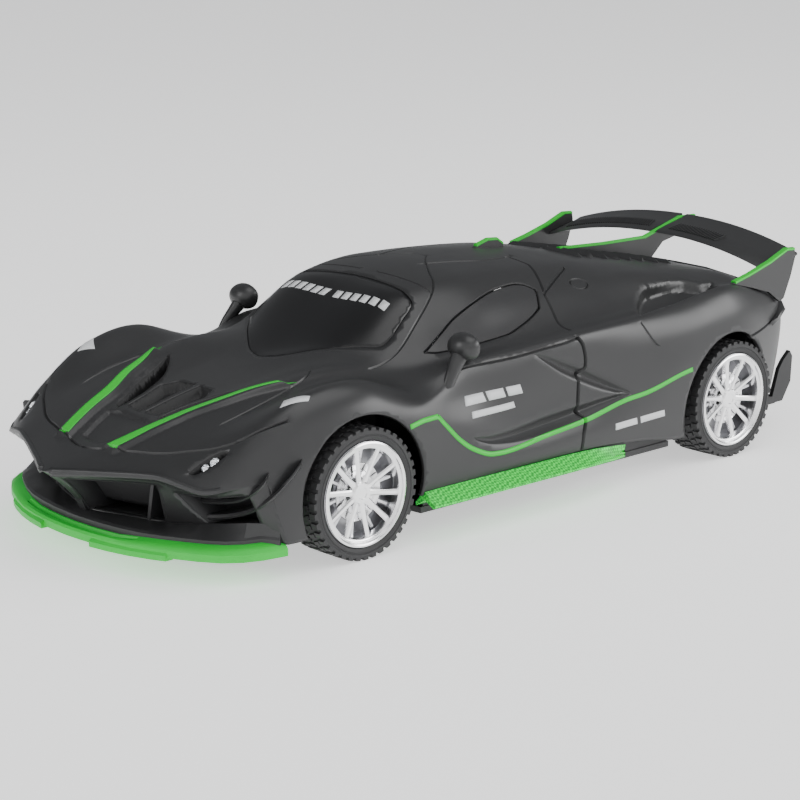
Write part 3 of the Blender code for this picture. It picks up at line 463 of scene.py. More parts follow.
    def ribbon(self, places, axes, width, smooth=True):
        """A stripe of even width along a curve, as outlines to be picked out."""
        path = self.path(places, axes, smooth)
        rings = self.both(np.concatenate([self.offset(path, width / 2), self.offset(path, -width / 2)[::-1]]))
        self.lines += [np.vstack([ring, ring[:1]]) for ring in rings]
        return rings

    def build(self, step):
        """Triangles over the sheet that follow every line, and the raised points."""
        count = np.maximum(2, (self.size * self.scale / step).astype(int))
        grid = [np.linspace(0, self.size[i], count[i] + 1) for i in (0, 1)]
        a, b = np.meshgrid(*grid, indexing="ij")
        base = np.stack([a.ravel(), b.ravel()], 1)
        edge = ((base == 0) | (base == self.size)).any(1)
        drawn = np.concatenate(self.lines)
        keep = edge | ~close_to(base * self.scale, drawn * self.scale, CLEARING * step)
        base = np.concatenate([base[keep], self.filling(drawn, FILLING * step)])
        points = [base]
        edges = []
        start = len(base)
        for line in self.lines:
            points.append(line)
            edges += [(start + i, start + i + 1) for i in range(len(line) - 1)]
            start += len(line)
        flat = np.concatenate(points) * self.scale
        done = delaunay_2d_cdt([Vector(p) for p in flat], edges, [], 0, 1e-4)
        self.places = np.array([tuple(p) for p in done[0]]) / self.scale
        self.places = np.clip(self.places, 0, self.size)
        faces = np.array([f for f in done[2] if len(f) == 3])
        corner = self.places[faces] * self.scale
        area = np.abs(np.cross(corner[:, 1] - corner[:, 0], corner[:, 2] - corner[:, 0]))
        self.faces = faces[area > SLIVER]
        self.points = self.at(self.places[:, 0], self.places[:, 1])
        self.middles = self.places[self.faces].mean(1)
        self.normals = self.surface_normals()
        self.raise_points()
        return self

    def filling(self, drawn, step):
        """Extra points inside the sunk regions, so that their walls come out even."""
        found = [np.zeros((0, 2))]
        for kind, run, width, depth in self.reliefs:
            if kind != "hollow":
                continue
            low, high = run.min(0) * self.scale, run.max(0) * self.scale
            a, b = np.meshgrid(*[np.arange(low[i] + step, high[i], step) for i in (0, 1)], indexing="ij")
            grid = np.stack([a.ravel(), b.ravel()], 1)
            grid = grid[inside(grid, run * self.scale)]
            found.append(grid[~close_to(grid, drawn * self.scale, 0.6 * step)] / self.scale)
        return np.concatenate(found)

    def surface_normals(self):
        n = np.cross(*self.slopes_at(self.places))
        n /= np.linalg.norm(n, axis=1)[:, None] + 1e-12
        return n * np.sign(n.mean(0) @ self.out)

    def raise_points(self):
        lift = np.zeros(len(self.points))
        for kind, run, width, depth in self.reliefs:
            spots = self.at(run[:, 0], run[:, 1])
            low, high = run.min(0) - 0.4, run.max(0) + 0.4
            near = np.nonzero(((self.places > low) & (self.places < high)).all(1))[0]
            if kind == "groove":
                d = distance(self.points[near], spots)
                lift[near] -= depth * np.clip(1 - d / width, 0, 1)
            elif kind == "valley":
                d = distance(self.points[near], spots)
                away = self.points[near][:, None, :] - spots[None]
                share = 1 / ((away ** 2).sum(2) + 0.02) ** 3
                share /= share.sum(1)[:, None]
                u = np.clip(d / (share @ width), 0, 1)
                lift[near] -= (share @ depth) * (1 - smoothstep(u))
            else:
                near = near[inside(self.places[near], run)]
                d = distance(self.points[near], np.vstack([spots, spots[:1]]))
                lift[near] -= depth * smoothstep(np.clip(d / width, 0, 1))
        self.points = self.points + self.normals * lift[:, None]

    def picked(self, rings):
        """Which faces lie inside any of the rings."""
        chosen = np.zeros(len(self.faces), bool)
        for ring in rings:
            chosen |= inside(self.middles, ring)
        return chosen


def close_to(points, others, reach):
    """Which points lie within a reach of any of the others, by cells."""
    cells = {}
    for x, y in others:
        cells.setdefault((int(x // reach), int(y // reach)), []).append((x, y))
    near = np.zeros(len(points), bool)
    for i, (x, y) in enumerate(points):
        cx, cy = int(x // reach), int(y // reach)
        near[i] = any((x - a) ** 2 + (y - b) ** 2 < reach * reach
                      for m in (cx - 1, cx, cx + 1) for n in (cy - 1, cy, cy + 1)
                      for a, b in cells.get((m, n), ()))
    return near


def inside(points, ring):
    """Even-odd test of flat points against a closed ring."""
    found = np.zeros(len(points), bool)
    x, y = points[:, 0], points[:, 1]
    after = np.roll(ring, -1, axis=0)
    for (x0, y0), (x1, y1) in zip(ring, after):
        crosses = (y0 > y) != (y1 > y)
        if crosses.any():
            found ^= crosses & (x < (x1 - x0) * (y - y0) / (y1 - y0 + 1e-18) + x0)
    return found


def distance(points, line):
    """Distance of each point to a polyline."""
    best = np.full(len(points), 1e9)
    for a, b in zip(line, line[1:]):
        d = b - a
        length = (d * d).sum()
        if length < 1e-12:
            continue
        u = np.clip((points - a) @ d / length, 0, 1)
        best = np.minimum(best, np.linalg.norm(points - a - u[:, None] * d, axis=1))
    return best


# ---------------------------------------------------------------- looks

def looks():
    return {
        "body": finish("body paint", (0.0205, 0.0207, 0.0214), 0.36, mottle=0.05, smear=0.04, grain=0.1),
        # Painted shade: the vent wells are a darker copy of the body black, standing in for the shade in the
        # sunk hood vents and lamp slot.
        "painted_shade_well": finish("painted shade vent well", (0.006, 0.006, 0.0065), 0.6, mottle=0.06, grain=0.1),
        "green": finish("green print", (0.004, 0.5, 0.02), 0.45, mottle=0.05, smear=0.06),
        "trim": finish("green trim", (0.003, 0.5, 0.03), 0.5, metallic=0.05, mottle=0.1, smear=0.07,
                       grain=0.2),
        "weave": finish("green weave", (0.004, 0.56, 0.035), 0.42, metallic=0.05, smear=0.05, weave=0.7),
        "screen": finish("windscreen black", (0.004, 0.004, 0.0045), 0.3, smear=0.03),
        "glass": finish("side glass black", (0.026, 0.026, 0.027), 0.34, smear=0.03),
        "panel": finish("grille panel", (0.02, 0.02, 0.021), 0.5, mottle=0.06, grain=0.15),
        "black": finish("moulded black", (0.016, 0.016, 0.017), 0.45, mottle=0.1, smear=0.06, grain=0.2),
        # Painted shade: the liners inside the nose openings are darker than the body paint and the moulded
        # black.
        "inside": finish("painted shade liner black", (0.008, 0.008, 0.009), 0.65, mottle=0.1, grain=0.2),
        "chrome": finish("bright chrome", (0.98, 0.98, 0.99), 0.2, metallic=1.0, mottle=0.02, smear=0.05),
        "dull": finish("dull chrome", (0.75, 0.75, 0.77), 0.25, metallic=1.0, mottle=0.05, smear=0.08),
        "barrel": finish("rim barrel", (0.5, 0.5, 0.52), 0.3, metallic=1.0, smear=0.08),
        "rubber": finish("tyre rubber", (0.022, 0.022, 0.023), 0.62, mottle=0.12, smear=0.08, grain=0.3),
        "steel": finish("plated steel", (0.55, 0.55, 0.57), 0.3, metallic=1.0, mottle=0.05, smear=0.08),
        "nylon": finish("gear nylon", (0.78, 0.77, 0.72), 0.45, mottle=0.04, smear=0.05),
        "brass": finish("brass", (0.72, 0.5, 0.2), 0.3, metallic=1.0, mottle=0.05, smear=0.06),
        "cell": finish("cell jacket", (0.04, 0.16, 0.4), 0.35, mottle=0.05, smear=0.05),
        "board": finish("solder mask", (0.02, 0.16, 0.06), 0.4, mottle=0.08, smear=0.05),
        "lens": finish("lamp reflector", (0.82, 0.84, 0.86), 0.1, metallic=0.9, smear=0.03),
        "mark": finish("pale print", (0.62, 0.63, 0.64), 0.45, mottle=0.05),
    }


# ---------------------------------------------------------------- body skin

HOOD_LINE = [(115.7, 0), (114.2, 8), (113, 12.7), (111.1, 19.4), (109, 25), (106.3, 29.5), (103.2, 34.3),
             (98.8, 39.2)]
HOOD_END = [(98.8, 39.2), (92.2, 43), (88.6, 44.6)]
STRIPE_OUT = [(114.0, 11.1), (108.3, 13.2), (101, 15.5), (95.4, 17.2), (88.6, 20.2), (80.7, 22.7),
              (74.5, 25.4), (70.5, 27.2)]
STRIPE_IN = [(113.6, 7.9), (107.9, 10.2), (100.9, 12.7), (95.1, 14.6), (88.3, 18.0), (80.5, 21.2),
             (74.4, 24.7), (70.5, 27.2)]
RIDGE_OUT = [(115.6, 12.2), (108.6, 15.2), (101.6, 17.7), (95.8, 19.5), (89, 22.5), (81, 24.9), (72, 28.2)]
RIDGE_IN = [(72, 28.2), (73.5, 23.4), (79.5, 19.4), (88, 16.2), (94.6, 12.9), (100.9, 10.9), (107.5, 8.6),
            (115.2, 5.8)]
FLOOR = [(113.2, 0), (112.8, 4.6), (107.0, 7.0), (101.0, 9.2), (99.6, 5), (99.4, 0)]
VENT_OUT = [(98.9, 7.8), (98.4, 9.4), (94, 11.2), (87.9, 14.4), (79.9, 17.4), (72.5, 21.2)]
VENT_IN = [(72.5, 21.2), (78, 15.2), (85.6, 10.6), (92.5, 8.6), (98.9, 7.8)]
VENT_MID = [(97.4, 0.9), (97.2, 4), (97.0, 6.6), (91.5, 7.3), (85, 9.0), (80.5, 6.5), (79.6, 0.9)]
GLASS = [(33.6, 43.1), (29.6, 42.8), (22, 43.2), (15.6, 43.7), (7.3, 44.4), (1.1, 45.7), (-4, 47.1),
         (-8.3, 48.7)]
GLASS_BACK = [(-8.3, 48.7), (-11.2, 52.6)]
GLASS_TOP = [(-11.2, 52.6), (-8, 54.2), (-4.2, 54.6), (2, 54.3), (6.1, 53.8), (11.5, 52.7), (16.9, 51.1),
             (21.5, 49.3), (24.8, 47.6), (29.5, 45.2), (33.6, 43.1)]
DOOR_GAP = [(-9.5, 42.4), (-10.9, 40.4), (-11.4, 36.6), (-10.9, 34.3), (-8.8, 32.7), (-8.3, 29),
            (-7.8, 23.9), (-9.9, 20.8), (-8.4, 17.3), (-8, 13.4)]
DOOR_TOP = [(-9.5, 42.4), (-4, 41.7), (4, 41.2), (12, 40.6), (22, 40.4), (31, 40.2)]
CREASE = [(5.5, 40.2), (1.5, 38.2), (-7, 34.0), (-16.4, 29.6), (-26.5, 25.6)]
TROUGH = [(31, 23.2), (24, 21.6), (15, 21.3), (5, 21.9), (-8, 23.1), (-18, 24.4), (-26.5, 25.3)]
SIDE_LINE = [(54.2, 30.5), (49.3, 31.1), (43.4, 31.0), (41, 28.3), (36.9, 24.2), (30.9, 20.2),
             (25.3, 18.2), (20, 17.9), (6.3, 19.1), (-9.2, 20.6), (-27.1, 24), (-45.1, 27.5), (-50.2, 28.4)]
SCOOP = [(-34.5, 45.6), (-44.5, 45.0), (-58.8, 45.2), (-67.4, 45.2), (-71, 42.5), (-78.8, 34.2),
         (-72.9, 33.9), (-68.3, 31.6), (-60, 31.4), (-52, 32.2), (-45.8, 34.8), (-40, 39)]
SLOT = [(110.0, 34.3), (109.3, 35.7), (103.4, 38.9), (101.6, 39.2), (102.2, 37.7), (107.6, 34.9)]
MARKS_SIDE = [
    [(32.0, 31.2), (24.4, 31.2), (25.2, 33.6), (31.6, 33.6)],
    [(23.4, 31.2), (17.4, 31.2), (18.2, 33.6), (24.2, 33.6)],
    [(16.4, 31.2), (11.4, 31.2), (12.2, 33.6), (17.2, 33.6)],
    [(30.6, 28.0), (14.4, 28.0), (14.9, 29.6), (30.4, 29.6)],
    [(-20.5, 16.3), (-29, 16.6), (-28.6, 18.4), (-20.5, 18.1)],
    [(-30.4, 16.6), (-40, 16.9), (-39.6, 18.7), (-30, 18.4)],
]
MARK_TOP = [(87.6, 41.0), (84.0, 38.2), (80.4, 43.6), (81.6, 44.4)]


# Width and depth of the grooves, in millimetres.
FAINT, FINE, LINE = (0.7, 0.3), (0.8, 0.35), (0.8, 0.4)
SEAM, HOOD_GAP, DOOR_SEAM = (0.9, 0.5), (0.9, 0.55), (1.3, 1.0)


def sides(outline):
    """The outline as straight runs, so that its corners stay sharp."""
    return [[a, b] for a, b in zip(outline, outline[1:] + outline[:1])]


def body_sheet():
    """The upper body with its shut-lines, vents, creases and openings."""
    sheet = Sheet(body_at, (12, RIGHT_SILL), (19.5, 9.5), ((0, 12), (0, CENTRE_LINE)), (0, 0, 1))
    top, side = [0, 1], [0, 2]
    sheet.gone = []
    for x, radius in ARCHES.values():
        circle = [(x + radius * math.cos(a), WHEEL_Z + radius * math.sin(a))
                  for a in np.radians(np.arange(-32, 213, 4))]
        sheet.gone += sheet.region([list(pair) for pair in zip(circle, circle[1:])], side)
    sheet.screen = sheet.region([SCREEN, [SCREEN[-1], SCREEN[0]]], top, False)
    sheet.glass = sheet.region([GLASS, GLASS_BACK, GLASS_TOP], side)
    sheet.stripe = sheet.region([STRIPE_OUT, list(reversed(STRIPE_IN)), [STRIPE_IN[0], STRIPE_OUT[0]]], top)
    for run in (SIDE_LINE[:3], SIDE_LINE[2:]):
        sheet.stripe += sheet.ribbon(run, side, 1.25, len(run) > 3)
    sheet.band = []
    for k in range(6):
        y = 1.6 + 3.3 * k
        x = 36.6 - 0.0035 * y * y
        sheet.band += sheet.region(sides([(x, y), (x, y + 2.4), (x - 2.4, y + 2.0), (x - 2.4, y - 0.4)]), top)
    sheet.marks = []
    for outline in MARKS_SIDE:
        sheet.marks += sheet.region(sides(outline), side)
    sheet.marks += sheet.region(sides(MARK_TOP), top)
    for run in (GLASS, GLASS_BACK, GLASS_TOP):
        sheet.groove(run, side, *FINE)
    sheet.wells_lamp = sheet.hollow([SLOT + SLOT[:1]], top, 1.8, 0.6)
    sheet.groove(HOOD_LINE, top, *HOOD_GAP)
    sheet.groove(HOOD_END, top, *HOOD_GAP)
    sheet.hollow([RIDGE_OUT, RIDGE_IN, [RIDGE_IN[-1], RIDGE_OUT[0]]], top, -1.1, 1.7)
    sheet.hollow_across(FLOOR, top, 0.8, 1.0)
    sheet.wells = sheet.hollow([VENT_OUT, VENT_IN], top, 3.4, 0.8)
    sheet.wells += sheet.hollow(sides(VENT_MID), top, 2.4, 1.7)
    sheet.groove([(64.5, 24.9), (70, 27.4), (76.1, 28.2), (86.1, 29), (94.6, 28.3)], top, *FINE)
    sheet.groove(DOOR_GAP, side, *DOOR_SEAM)
    sheet.groove(DOOR_TOP, side, *LINE)
    sheet.valley(CREASE, side, 2.3, 1.7)
    sheet.valley(TROUGH, side, 2.6, 1.7)
    sheet.hollow([SCOOP + SCOOP[:1]], top, 2.6, 2.6)
    sheet.groove([(49, 30), (43.4, 30.2), (31.2, 27.8), (21.8, 23.8), (13.4, 13.7), (4, 3.0)], top, *FINE)
    sheet.groove([(21.8, 23.8), (22.1, 12.7), (22.3, 4)], top, *FAINT)
    sheet.groove([(10.7, 8.8), (2, 11.5), (-6.7, 13.9), (-13, 13.6), (-19, 12.4)], top, 1.2, 0.5)
    sheet.groove([(-17.1, 12.8), (-17.7, 20.3), (-12.9, 30.8), (-11.9, 35.3), (-10.4, 42)], top, *SEAM, False)
    sheet.groove([(-28.1, 23.8), (-13.2, 30.6)], top, *SEAM, False)
    sheet.groove([(-77.7, 33.4), (-90.6, 34.7), (-98.4, 36.4)], side, *LINE)
    sheet.groove([(-33.5, 43), (-35, 40.1), (-37.5, 36.9)], side, *FAINT)
    for x in np.arange(-44, -83, -5.5):
        sheet.groove([(x, 3.2), (x - 1.2, 12.5)], top, 1.5, -1.1, smooth=False)
    cap = [(-27.5 + 3.0 * math.cos(a), 29.8 + 1.7 * math.sin(a)) for a in np.radians(np.arange(0, 361, 15))]
    sheet.groove(cap, top, 0.6, 0.35)
    return sheet


def piece_of(name, sheets, look, lift, wall, node=""):
    """One walled piece from the faces picked on one or more sheets."""
    points, faces = [], []
    for sheet, mask, mirror in sheets:
        chosen = sheet.faces[mask]
        used, inverse = np.unique(chosen, return_inverse=True)
        spots = sheet.points[used] + sheet.normals[used] * lift
        tris = inverse.reshape(-1, 3)
        corner = spots[tris]
        flow = np.cross(corner[:, 1] - corner[:, 0], corner[:, 2] - corner[:, 0])
        wrong = (flow * sheet.normals[chosen[:, 0]]).sum(1) < 0
        tris[wrong] = tris[wrong][:, ::-1]
        tris = tris + sum(len(p) for p in points)
        points.append(spots)
        faces.append(tris)
        if mirror:
            points.append(spots * (1, -1, 1))
            faces.append(tris[:, ::-1] + len(spots))
    mesh = bpy.data.meshes.new(name)
    mesh.from_pydata(to_frame(np.concatenate(points)).tolist(), [], np.concatenate(faces).tolist())
    holder = bmesh.new()
    holder.from_mesh(mesh)
    bmesh.ops.remove_doubles(holder, verts=holder.verts, dist=0.02 * MM)
    bmesh.ops.dissolve_degenerate(holder, edges=holder.edges, dist=0.001 * MM)
    holder.to_mesh(mesh)
    holder.free()
    return add_wall(settle(name, mesh, look, node, 35), wall, -1)


MOUTH = [(3.2, 21.2), (15, 21.9), (26.8, 22.5), (24.6, 16.5), (22.6, 11.2), (12, 11.1), (1.6, 11.2),
         (2.4, 16)]
DUCT = [(30.4, 21), (38, 21.3), (45.2, 21.4), (45.4, 17.2), (45.2, 13.6), (40, 12.6), (35, 11.8),
        (32.6, 16.5)]
BODY_STEP, NOSE_STEP, TAIL_STEP = 1.15, 1.0, 1.2       # size of the triangles on each sheet


def nose_sheet():
    sheet = Sheet(nose_at, (1, 1), (50, 22), ((0, 1), (0, 1)), (1, 0, 0))
    front = [1, 2]
    sheet.mouth = sheet.region(sides(MOUTH), front)
    sheet.gone = sheet.mouth + sheet.region(sides(DUCT), front)
    return sheet.build(NOSE_STEP)


def tail_sheet():
    sheet = Sheet(tail_at, (1, 1), (42, 30), ((0, 1), (0, 1)), (-1, 0, 0))
    back = [1, 2]
    lamp = [(38, 37.6), (20, 38.8), (20, 35.6), (36.5, 34.2)]
    sheet.hollow(sides(lamp), back, 0.9, 0.7)
    sheet.hollow(sides([(34, 30.5), (4, 31.5), (4, 20), (30, 19)]), back, 1.6, 0.9)
    for k in range(5):
        sheet.groove([(30 - 1.0 * k, 28.6 - 2.0 * k), (5, 29.4 - 2.0 * k)], back, 0.8, -0.5, smooth=False)
    sheet.groove([(40.5, 33.6), (30, 33.4), (0, 33.6)], back, 0.7, 0.4)
    return sheet.build(TAIL_STEP)


def make_body(look):
    sheet, nose, tail = body_sheet(), nose_sheet(), tail_sheet()
    sheet.build(BODY_STEP)
    gone, screen = sheet.picked(sheet.gone), sheet.picked(sheet.screen)
    glass = sheet.picked(sheet.glass) & ~screen
    open_nose = nose.picked(nose.gone)
    whole = np.ones(len(tail.faces), bool)
    shell = ~gone & ~screen & ~glass
    # Faces of the sunk hood vents and lamp slot, which get the darker painted-shade finish.
    painted_shade_well = sheet.picked(sheet.wells + sheet.wells_lamp) & shell
    calm_screen(sheet, screen)
    stripe, mark = sheet.picked(sheet.stripe) & shell, sheet.picked(sheet.marks) & shell
    band, mouth = sheet.picked(sheet.band) & screen, nose.picked(nose.mouth)
    piece_of("hood vent wells", [(sheet, painted_shade_well, False)], look["painted_shade_well"], 0, 1.0)
    piece_of("car body shell", [(sheet, shell & ~painted_shade_well, False), (nose, ~open_nose, True), (tail, whole, True)],
             look["body"], 0, WALL, "body_shell")
    piece_of("side windows", [(sheet, glass, False)], look["glass"], -0.15, 1.0)
    piece_of("windscreen pane", [(sheet, screen, False)], look["screen"], -0.12, 1.0, "windscreen")
    piece_of("green stripes", [(sheet, stripe, False)], look["green"], 0.07, 0.3)
    piece_of("windscreen band", [(sheet, band, False)], look["mark"], -0.04, 0.2)
    piece_of("printed marks", [(sheet, mark, False)], look["mark"], 0.06, 0.25)
    piece_of("mouth panel", [(nose, mouth, True)], look["panel"], -4.6, 0.8)
    make_liners(look, nose)
    return sheet, nose


CALM_RIM = 4.0            # the windscreen keeps its drawn edge and turns even over this width


def calm_screen(sheet, screen):
    """The windscreen as one even curve, so that its reflection has no fold."""
    used = np.unique(sheet.faces[screen])
    p = sheet.points[used]
    x, y = (p[:, 0] - 43) / 17, p[:, 1] / 26
    terms = np.stack([x ** i * y ** j for i in range(4) for j in (0, 2, 4)], 1)
    fit = terms @ np.linalg.lstsq(terms, p[:, 2], rcond=None)[0]
    counts = {}
    for f in sheet.faces[screen]:
        for a, b in ((f[0], f[1]), (f[1], f[2]), (f[2], f[0])):
            key = (min(a, b), max(a, b))
            counts[key] = counts.get(key, 0) + 1
    rim = np.array(sorted({v for edge, n in counts.items() if n == 1 for v in edge}))
    edge = sheet.points[rim]
    near = np.array([np.sqrt(((edge - q) ** 2).sum(1).min()) for q in p])
    sheet.points[used, 2] += (fit - p[:, 2]) * smoothstep(np.clip(near / CALM_RIM, 0, 1))


def make_liners(look, nose):
    """Short tunnels behind the openings in the nose, near-black as painted shade inside them."""
    made = bmesh.new()
    for outline in (MOUTH, DUCT):
        ring = nose.path(outline + outline[:1], [1, 2], smooth=False, step=1.5)[:-1]
        spots = nose.at(ring[:, 0], ring[:, 1])
        middle = spots.mean(0)
        for side in (1, -1):
            rows = []
            for back, grow in ((0.5, 1.0), (4.0, 0.99), (9.0, 0.97)):
                row = middle + (spots - middle) * (1, grow, grow)
                row[:, 0] = np.maximum(spots[:, 0] - back, 103.4 if outline is MOUTH else 93)
                rows.append(row * (1, side, 1))
            grid = [[made.verts.new(tuple(p)) for p in row] for row in rows]
            for a, b in zip(grid, grid[1:]):
                for i in range(len(a)):
                    j = (i + 1) % len(a)
                    made.faces.new((a[i], a[j], b[j], b[i]))
            if outline is DUCT:
                made.faces.new(grid[-1])
    add_wall(from_bmesh("nose opening liners painted shade", made, look["inside"], smooth=35), 0.5, 0)


# ---------------------------------------------------------------- front trim

SPLIT_OUT = [(121.5, 0), (121.3, 5), (120.9, 10), (120.0, 16), (118.6, 22), (116.4, 28), (113.6, 34),
             (111.2, 38.6), (108.0, 43.2), (104.0, 46.4), (99.3, 48.4), (92.8, 49.6)]
SPLIT_IN = [(104.4, 0), (104.3, 5), (104.2, 10), (103.6, 17), (102.6, 24), (101.0, 28.4), (99.4, 31.6),
            (98, 34), (96.8, 36.2), (95.4, 38.4), (94.2, 39.8), (93.2, 41)]


def strip(rows):
    """A closed bar from sections along the left half, mirrored through the middle."""
    return loft([[(x, -y, z) for x, y, z in row] for row in rows[:0:-1]] + rows)


def splitter_stations():
    """Outer points, inner points and the way inwards at each station of the splitter."""
    for (x, y), (a, b) in zip(SPLIT_OUT, SPLIT_IN):
        away = np.array([x - a, y - b], float)
        away /= np.linalg.norm(away)
        yield x, y, a, b, lambda d, z: (x - away[0] * d, y - away[1] * d, z)


def make_splitter(look, nose):
    rows, lip = [], []
    for x, y, a, b, put in splitter_stations():
        out = 1 - min(1.0, max(0.0, (23 - y) / 5))        # 0 under the mouth, 1 beside it, where it is higher
        rows.append([put(0, 5.9), put(0.0, 7.7), put(0.4, 8.3), put(1.2, 8.5 + 0.3 * out),
                     put(1.6, 7.9 + 1.1 * out), put(2.2, 7.9 + 1.3 * out), put(2.6, 8.8 + 0.5 * out),
                     put(3.6, 8.9 + 0.7 * out), put(6.0, 9.0 + 1.4 * out), (a, b, 9.0 + 1.4 * out),
                     (a, b, 5.6), put(1.2, 5.5)])
        rise = float(np.interp(y, [0, 26, 32, 46], [11.3, 11.3, 12.4, 14.0]))
        place = nose.find([(0.93 * y, rise)], [1, 2])
        bx, by, bz = nose.at(place[:, 0], place[:, 1])[0]
        lip.append([put(3.0, 8.6), put(3.0, 10.3), put(3.7, 10.8),
                    (bx + 0.2, by, bz), (bx - 6.5, by, bz - 0.2), (bx - 6.5, by, 8.6)])
    from_bmesh("front splitter", strip(rows), look["trim"], "front_splitter", 28)
    bars = bmesh.new()
    for side in (1, -1):
        path = [(121.0, 10.0), (120.0, 16), (118.5, 22), (116.3, 28), (114.6, 31.6)]
        rings = [[(x - 1.6, side * y, 5.2), (x - 1.6, side * y, 7.6), (x - 0.1, side * y, 7.3),
                  (x + 0.7, side * y, 6.6), (x + 0.6, side * y, 5.2)] for x, y in path]
        loft_side(rings, side, bars)
    from_bmesh("splitter bars", bars, look["trim"], smooth=28)
    lip[-1] = [(94.4, 48.6, 8.6), (94.4, 48.6, 9.8), (94.2, 48.4, 10.4),
               (94.0, 48.2, 13.4), (91.0, 46.6, 13.2), (91.0, 46.6, 8.6)]
    from_bmesh("nose lower lip", strip(lip), look["body"], smooth=28)


def make_grille(look):
    made = prism([(-26, 9.2), (26, 9.2), (26, 22.5), (-26, 22.5)], 102.4, 103.6, "X")
    for y in (-17.5, -9, 0, 9, 17.5):
        prism([(y - 0.5, 9.4), (y + 0.5, 9.4), (y + 0.5, 20.8), (y - 0.5, 20.8)], 103.6, 104.2, "X", made)
    for z in np.arange(10.4, 20.6, 1.5):
        slat = [(-25.6, z - 0.25), (25.6, z - 0.25), (25.6, z + 0.25), (-25.6, z + 0.25)]
        prism(slat, 103.6, 103.9, "X", made)
    from_bmesh("front grille panel", made, look["black"], "front_grille")
    vanes = bmesh.new()
    for side in (1, -1):
        outline = [(17.0, 10.6), (18.2, 10.6), (20.4, 21.6), (19.2, 21.6)]
        prism([(side * y, z) for y, z in outline], 103.6, 109.5, "X", vanes)
    from_bmesh("mouth vanes", vanes, look["black"])
    pylon = loft([[(104, -0.7, 10.5), (104, 0.7, 10.5), (104, 0.6, 21.5), (104, -0.6, 21.5)],
                  [(115.6, -1.1, 10.4), (115.6, 1.1, 10.4), (119.9, 2.2, 19.8), (119.9, -2.2, 19.8)]])
    from_bmesh("nose pylon", pylon, look["body"])
    blades = bmesh.new()
    for side in (1, -1):
        for path in (((104.4, 34.0, 13.8), (99.9, 43.2, 16.0), (96.0, 49.2, 20.8), (90.4, 51.8, 27.4)),
                     ((104.6, 31.6, 17.4), (101.8, 41.2, 18.8), (100.0, 46.6, 21.8), (98.8, 49.6, 25.4))):
            rings = []
            for k, (x, y, z) in enumerate(through(np.arange(4.0), path, np.linspace(0, 3, 18))):
                deep = 6.0 - 0.12 * k
                rings.append([(x, side * y, z), (x + 0.4, side * (y + 0.3), z + 0.6), (x, side * y, z + 1.2),
                              (x - deep, side * (y - 4.0), z + 1.0), (x - deep, side * (y - 4.0), z)])
            loft_side(rings, side, blades)
    from_bmesh("canard blades", blades, look["body"], smooth=40)


def make_headlights(look, sheet):
    for side, name in SIDES:
        made = bmesh.new()
        for x, y, radius in ((104.9, 37.2, 0.95), (106.9, 36.2, 0.7)):
            place = sheet.find([(x, y)], [0, 1])
            spot = sheet.at(place[:, 0], place[:, 1])[0] * (1, side, 1)
            turn = Vector((0, 0, 1)).rotation_difference(Vector((0.72, side * 0.12, 0.68))).to_matrix()
            before = set(made.verts)
            turned([(0, -1.6), (radius + 0.3, -1.6), (radius + 0.3, 0.1), (radius, 0.25),
                    (radius * 0.8, -0.2), (radius * 0.45, -0.45), (0, -0.2)], 28, axis="Z", into=made)
            new = [v for v in made.verts if v not in before]
            bmesh.ops.rotate(made, cent=(0, 0, 0), matrix=turn, verts=new)
            bmesh.ops.translate(made, vec=Vector(spot) - Vector((0.4, 0, 0.5)), verts=new)
        from_bmesh(f"headlight lenses {name}", made, look["lens"], f"headlight_{name}", 40)


# ---------------------------------------------------------------- skirts, wing, mirrors, diffuser

def make_skirts(look):
    at = np.array([(48.8, 53.4, 12.0), (44, 53.9, 12.1), (30, 54.1, 12.1), (0, 54.0, 12.0), (-12, 53.0, 11.7),
                   (-19, 51.6, 11.2), (-25.2, 49.9, 10.6)], float)
    fine = through(-at[:, 0], at[:, 1:], np.linspace(-48.8, 25.2, 34))
    for side, name in SIDES:
        rings = []
        for x, (reach, top) in zip(np.linspace(48.8, -25.2, 34), fine):
            ring = [(46.6, top - 2.3), (49.0, top + 0.5), (50.0, top + 0.8), (reach - 0.5, top - 1.75),
                    (reach, top - 2.1), (reach, top - 2.7), (reach - 0.6, top - 2.9), (50, top - 1.3),
                    (46.6, top - 3.3)]
            rings.append([(x, side * y, z) for y, z in ring])
        from_bmesh(f"side skirt {name}", loft_side(rings, side), look["weave"],
                   f"side_skirt_{name}", 25)


def wing_height(y):
    return 57.2 - 6.2 * (abs(y) / 42.6) ** 2.2


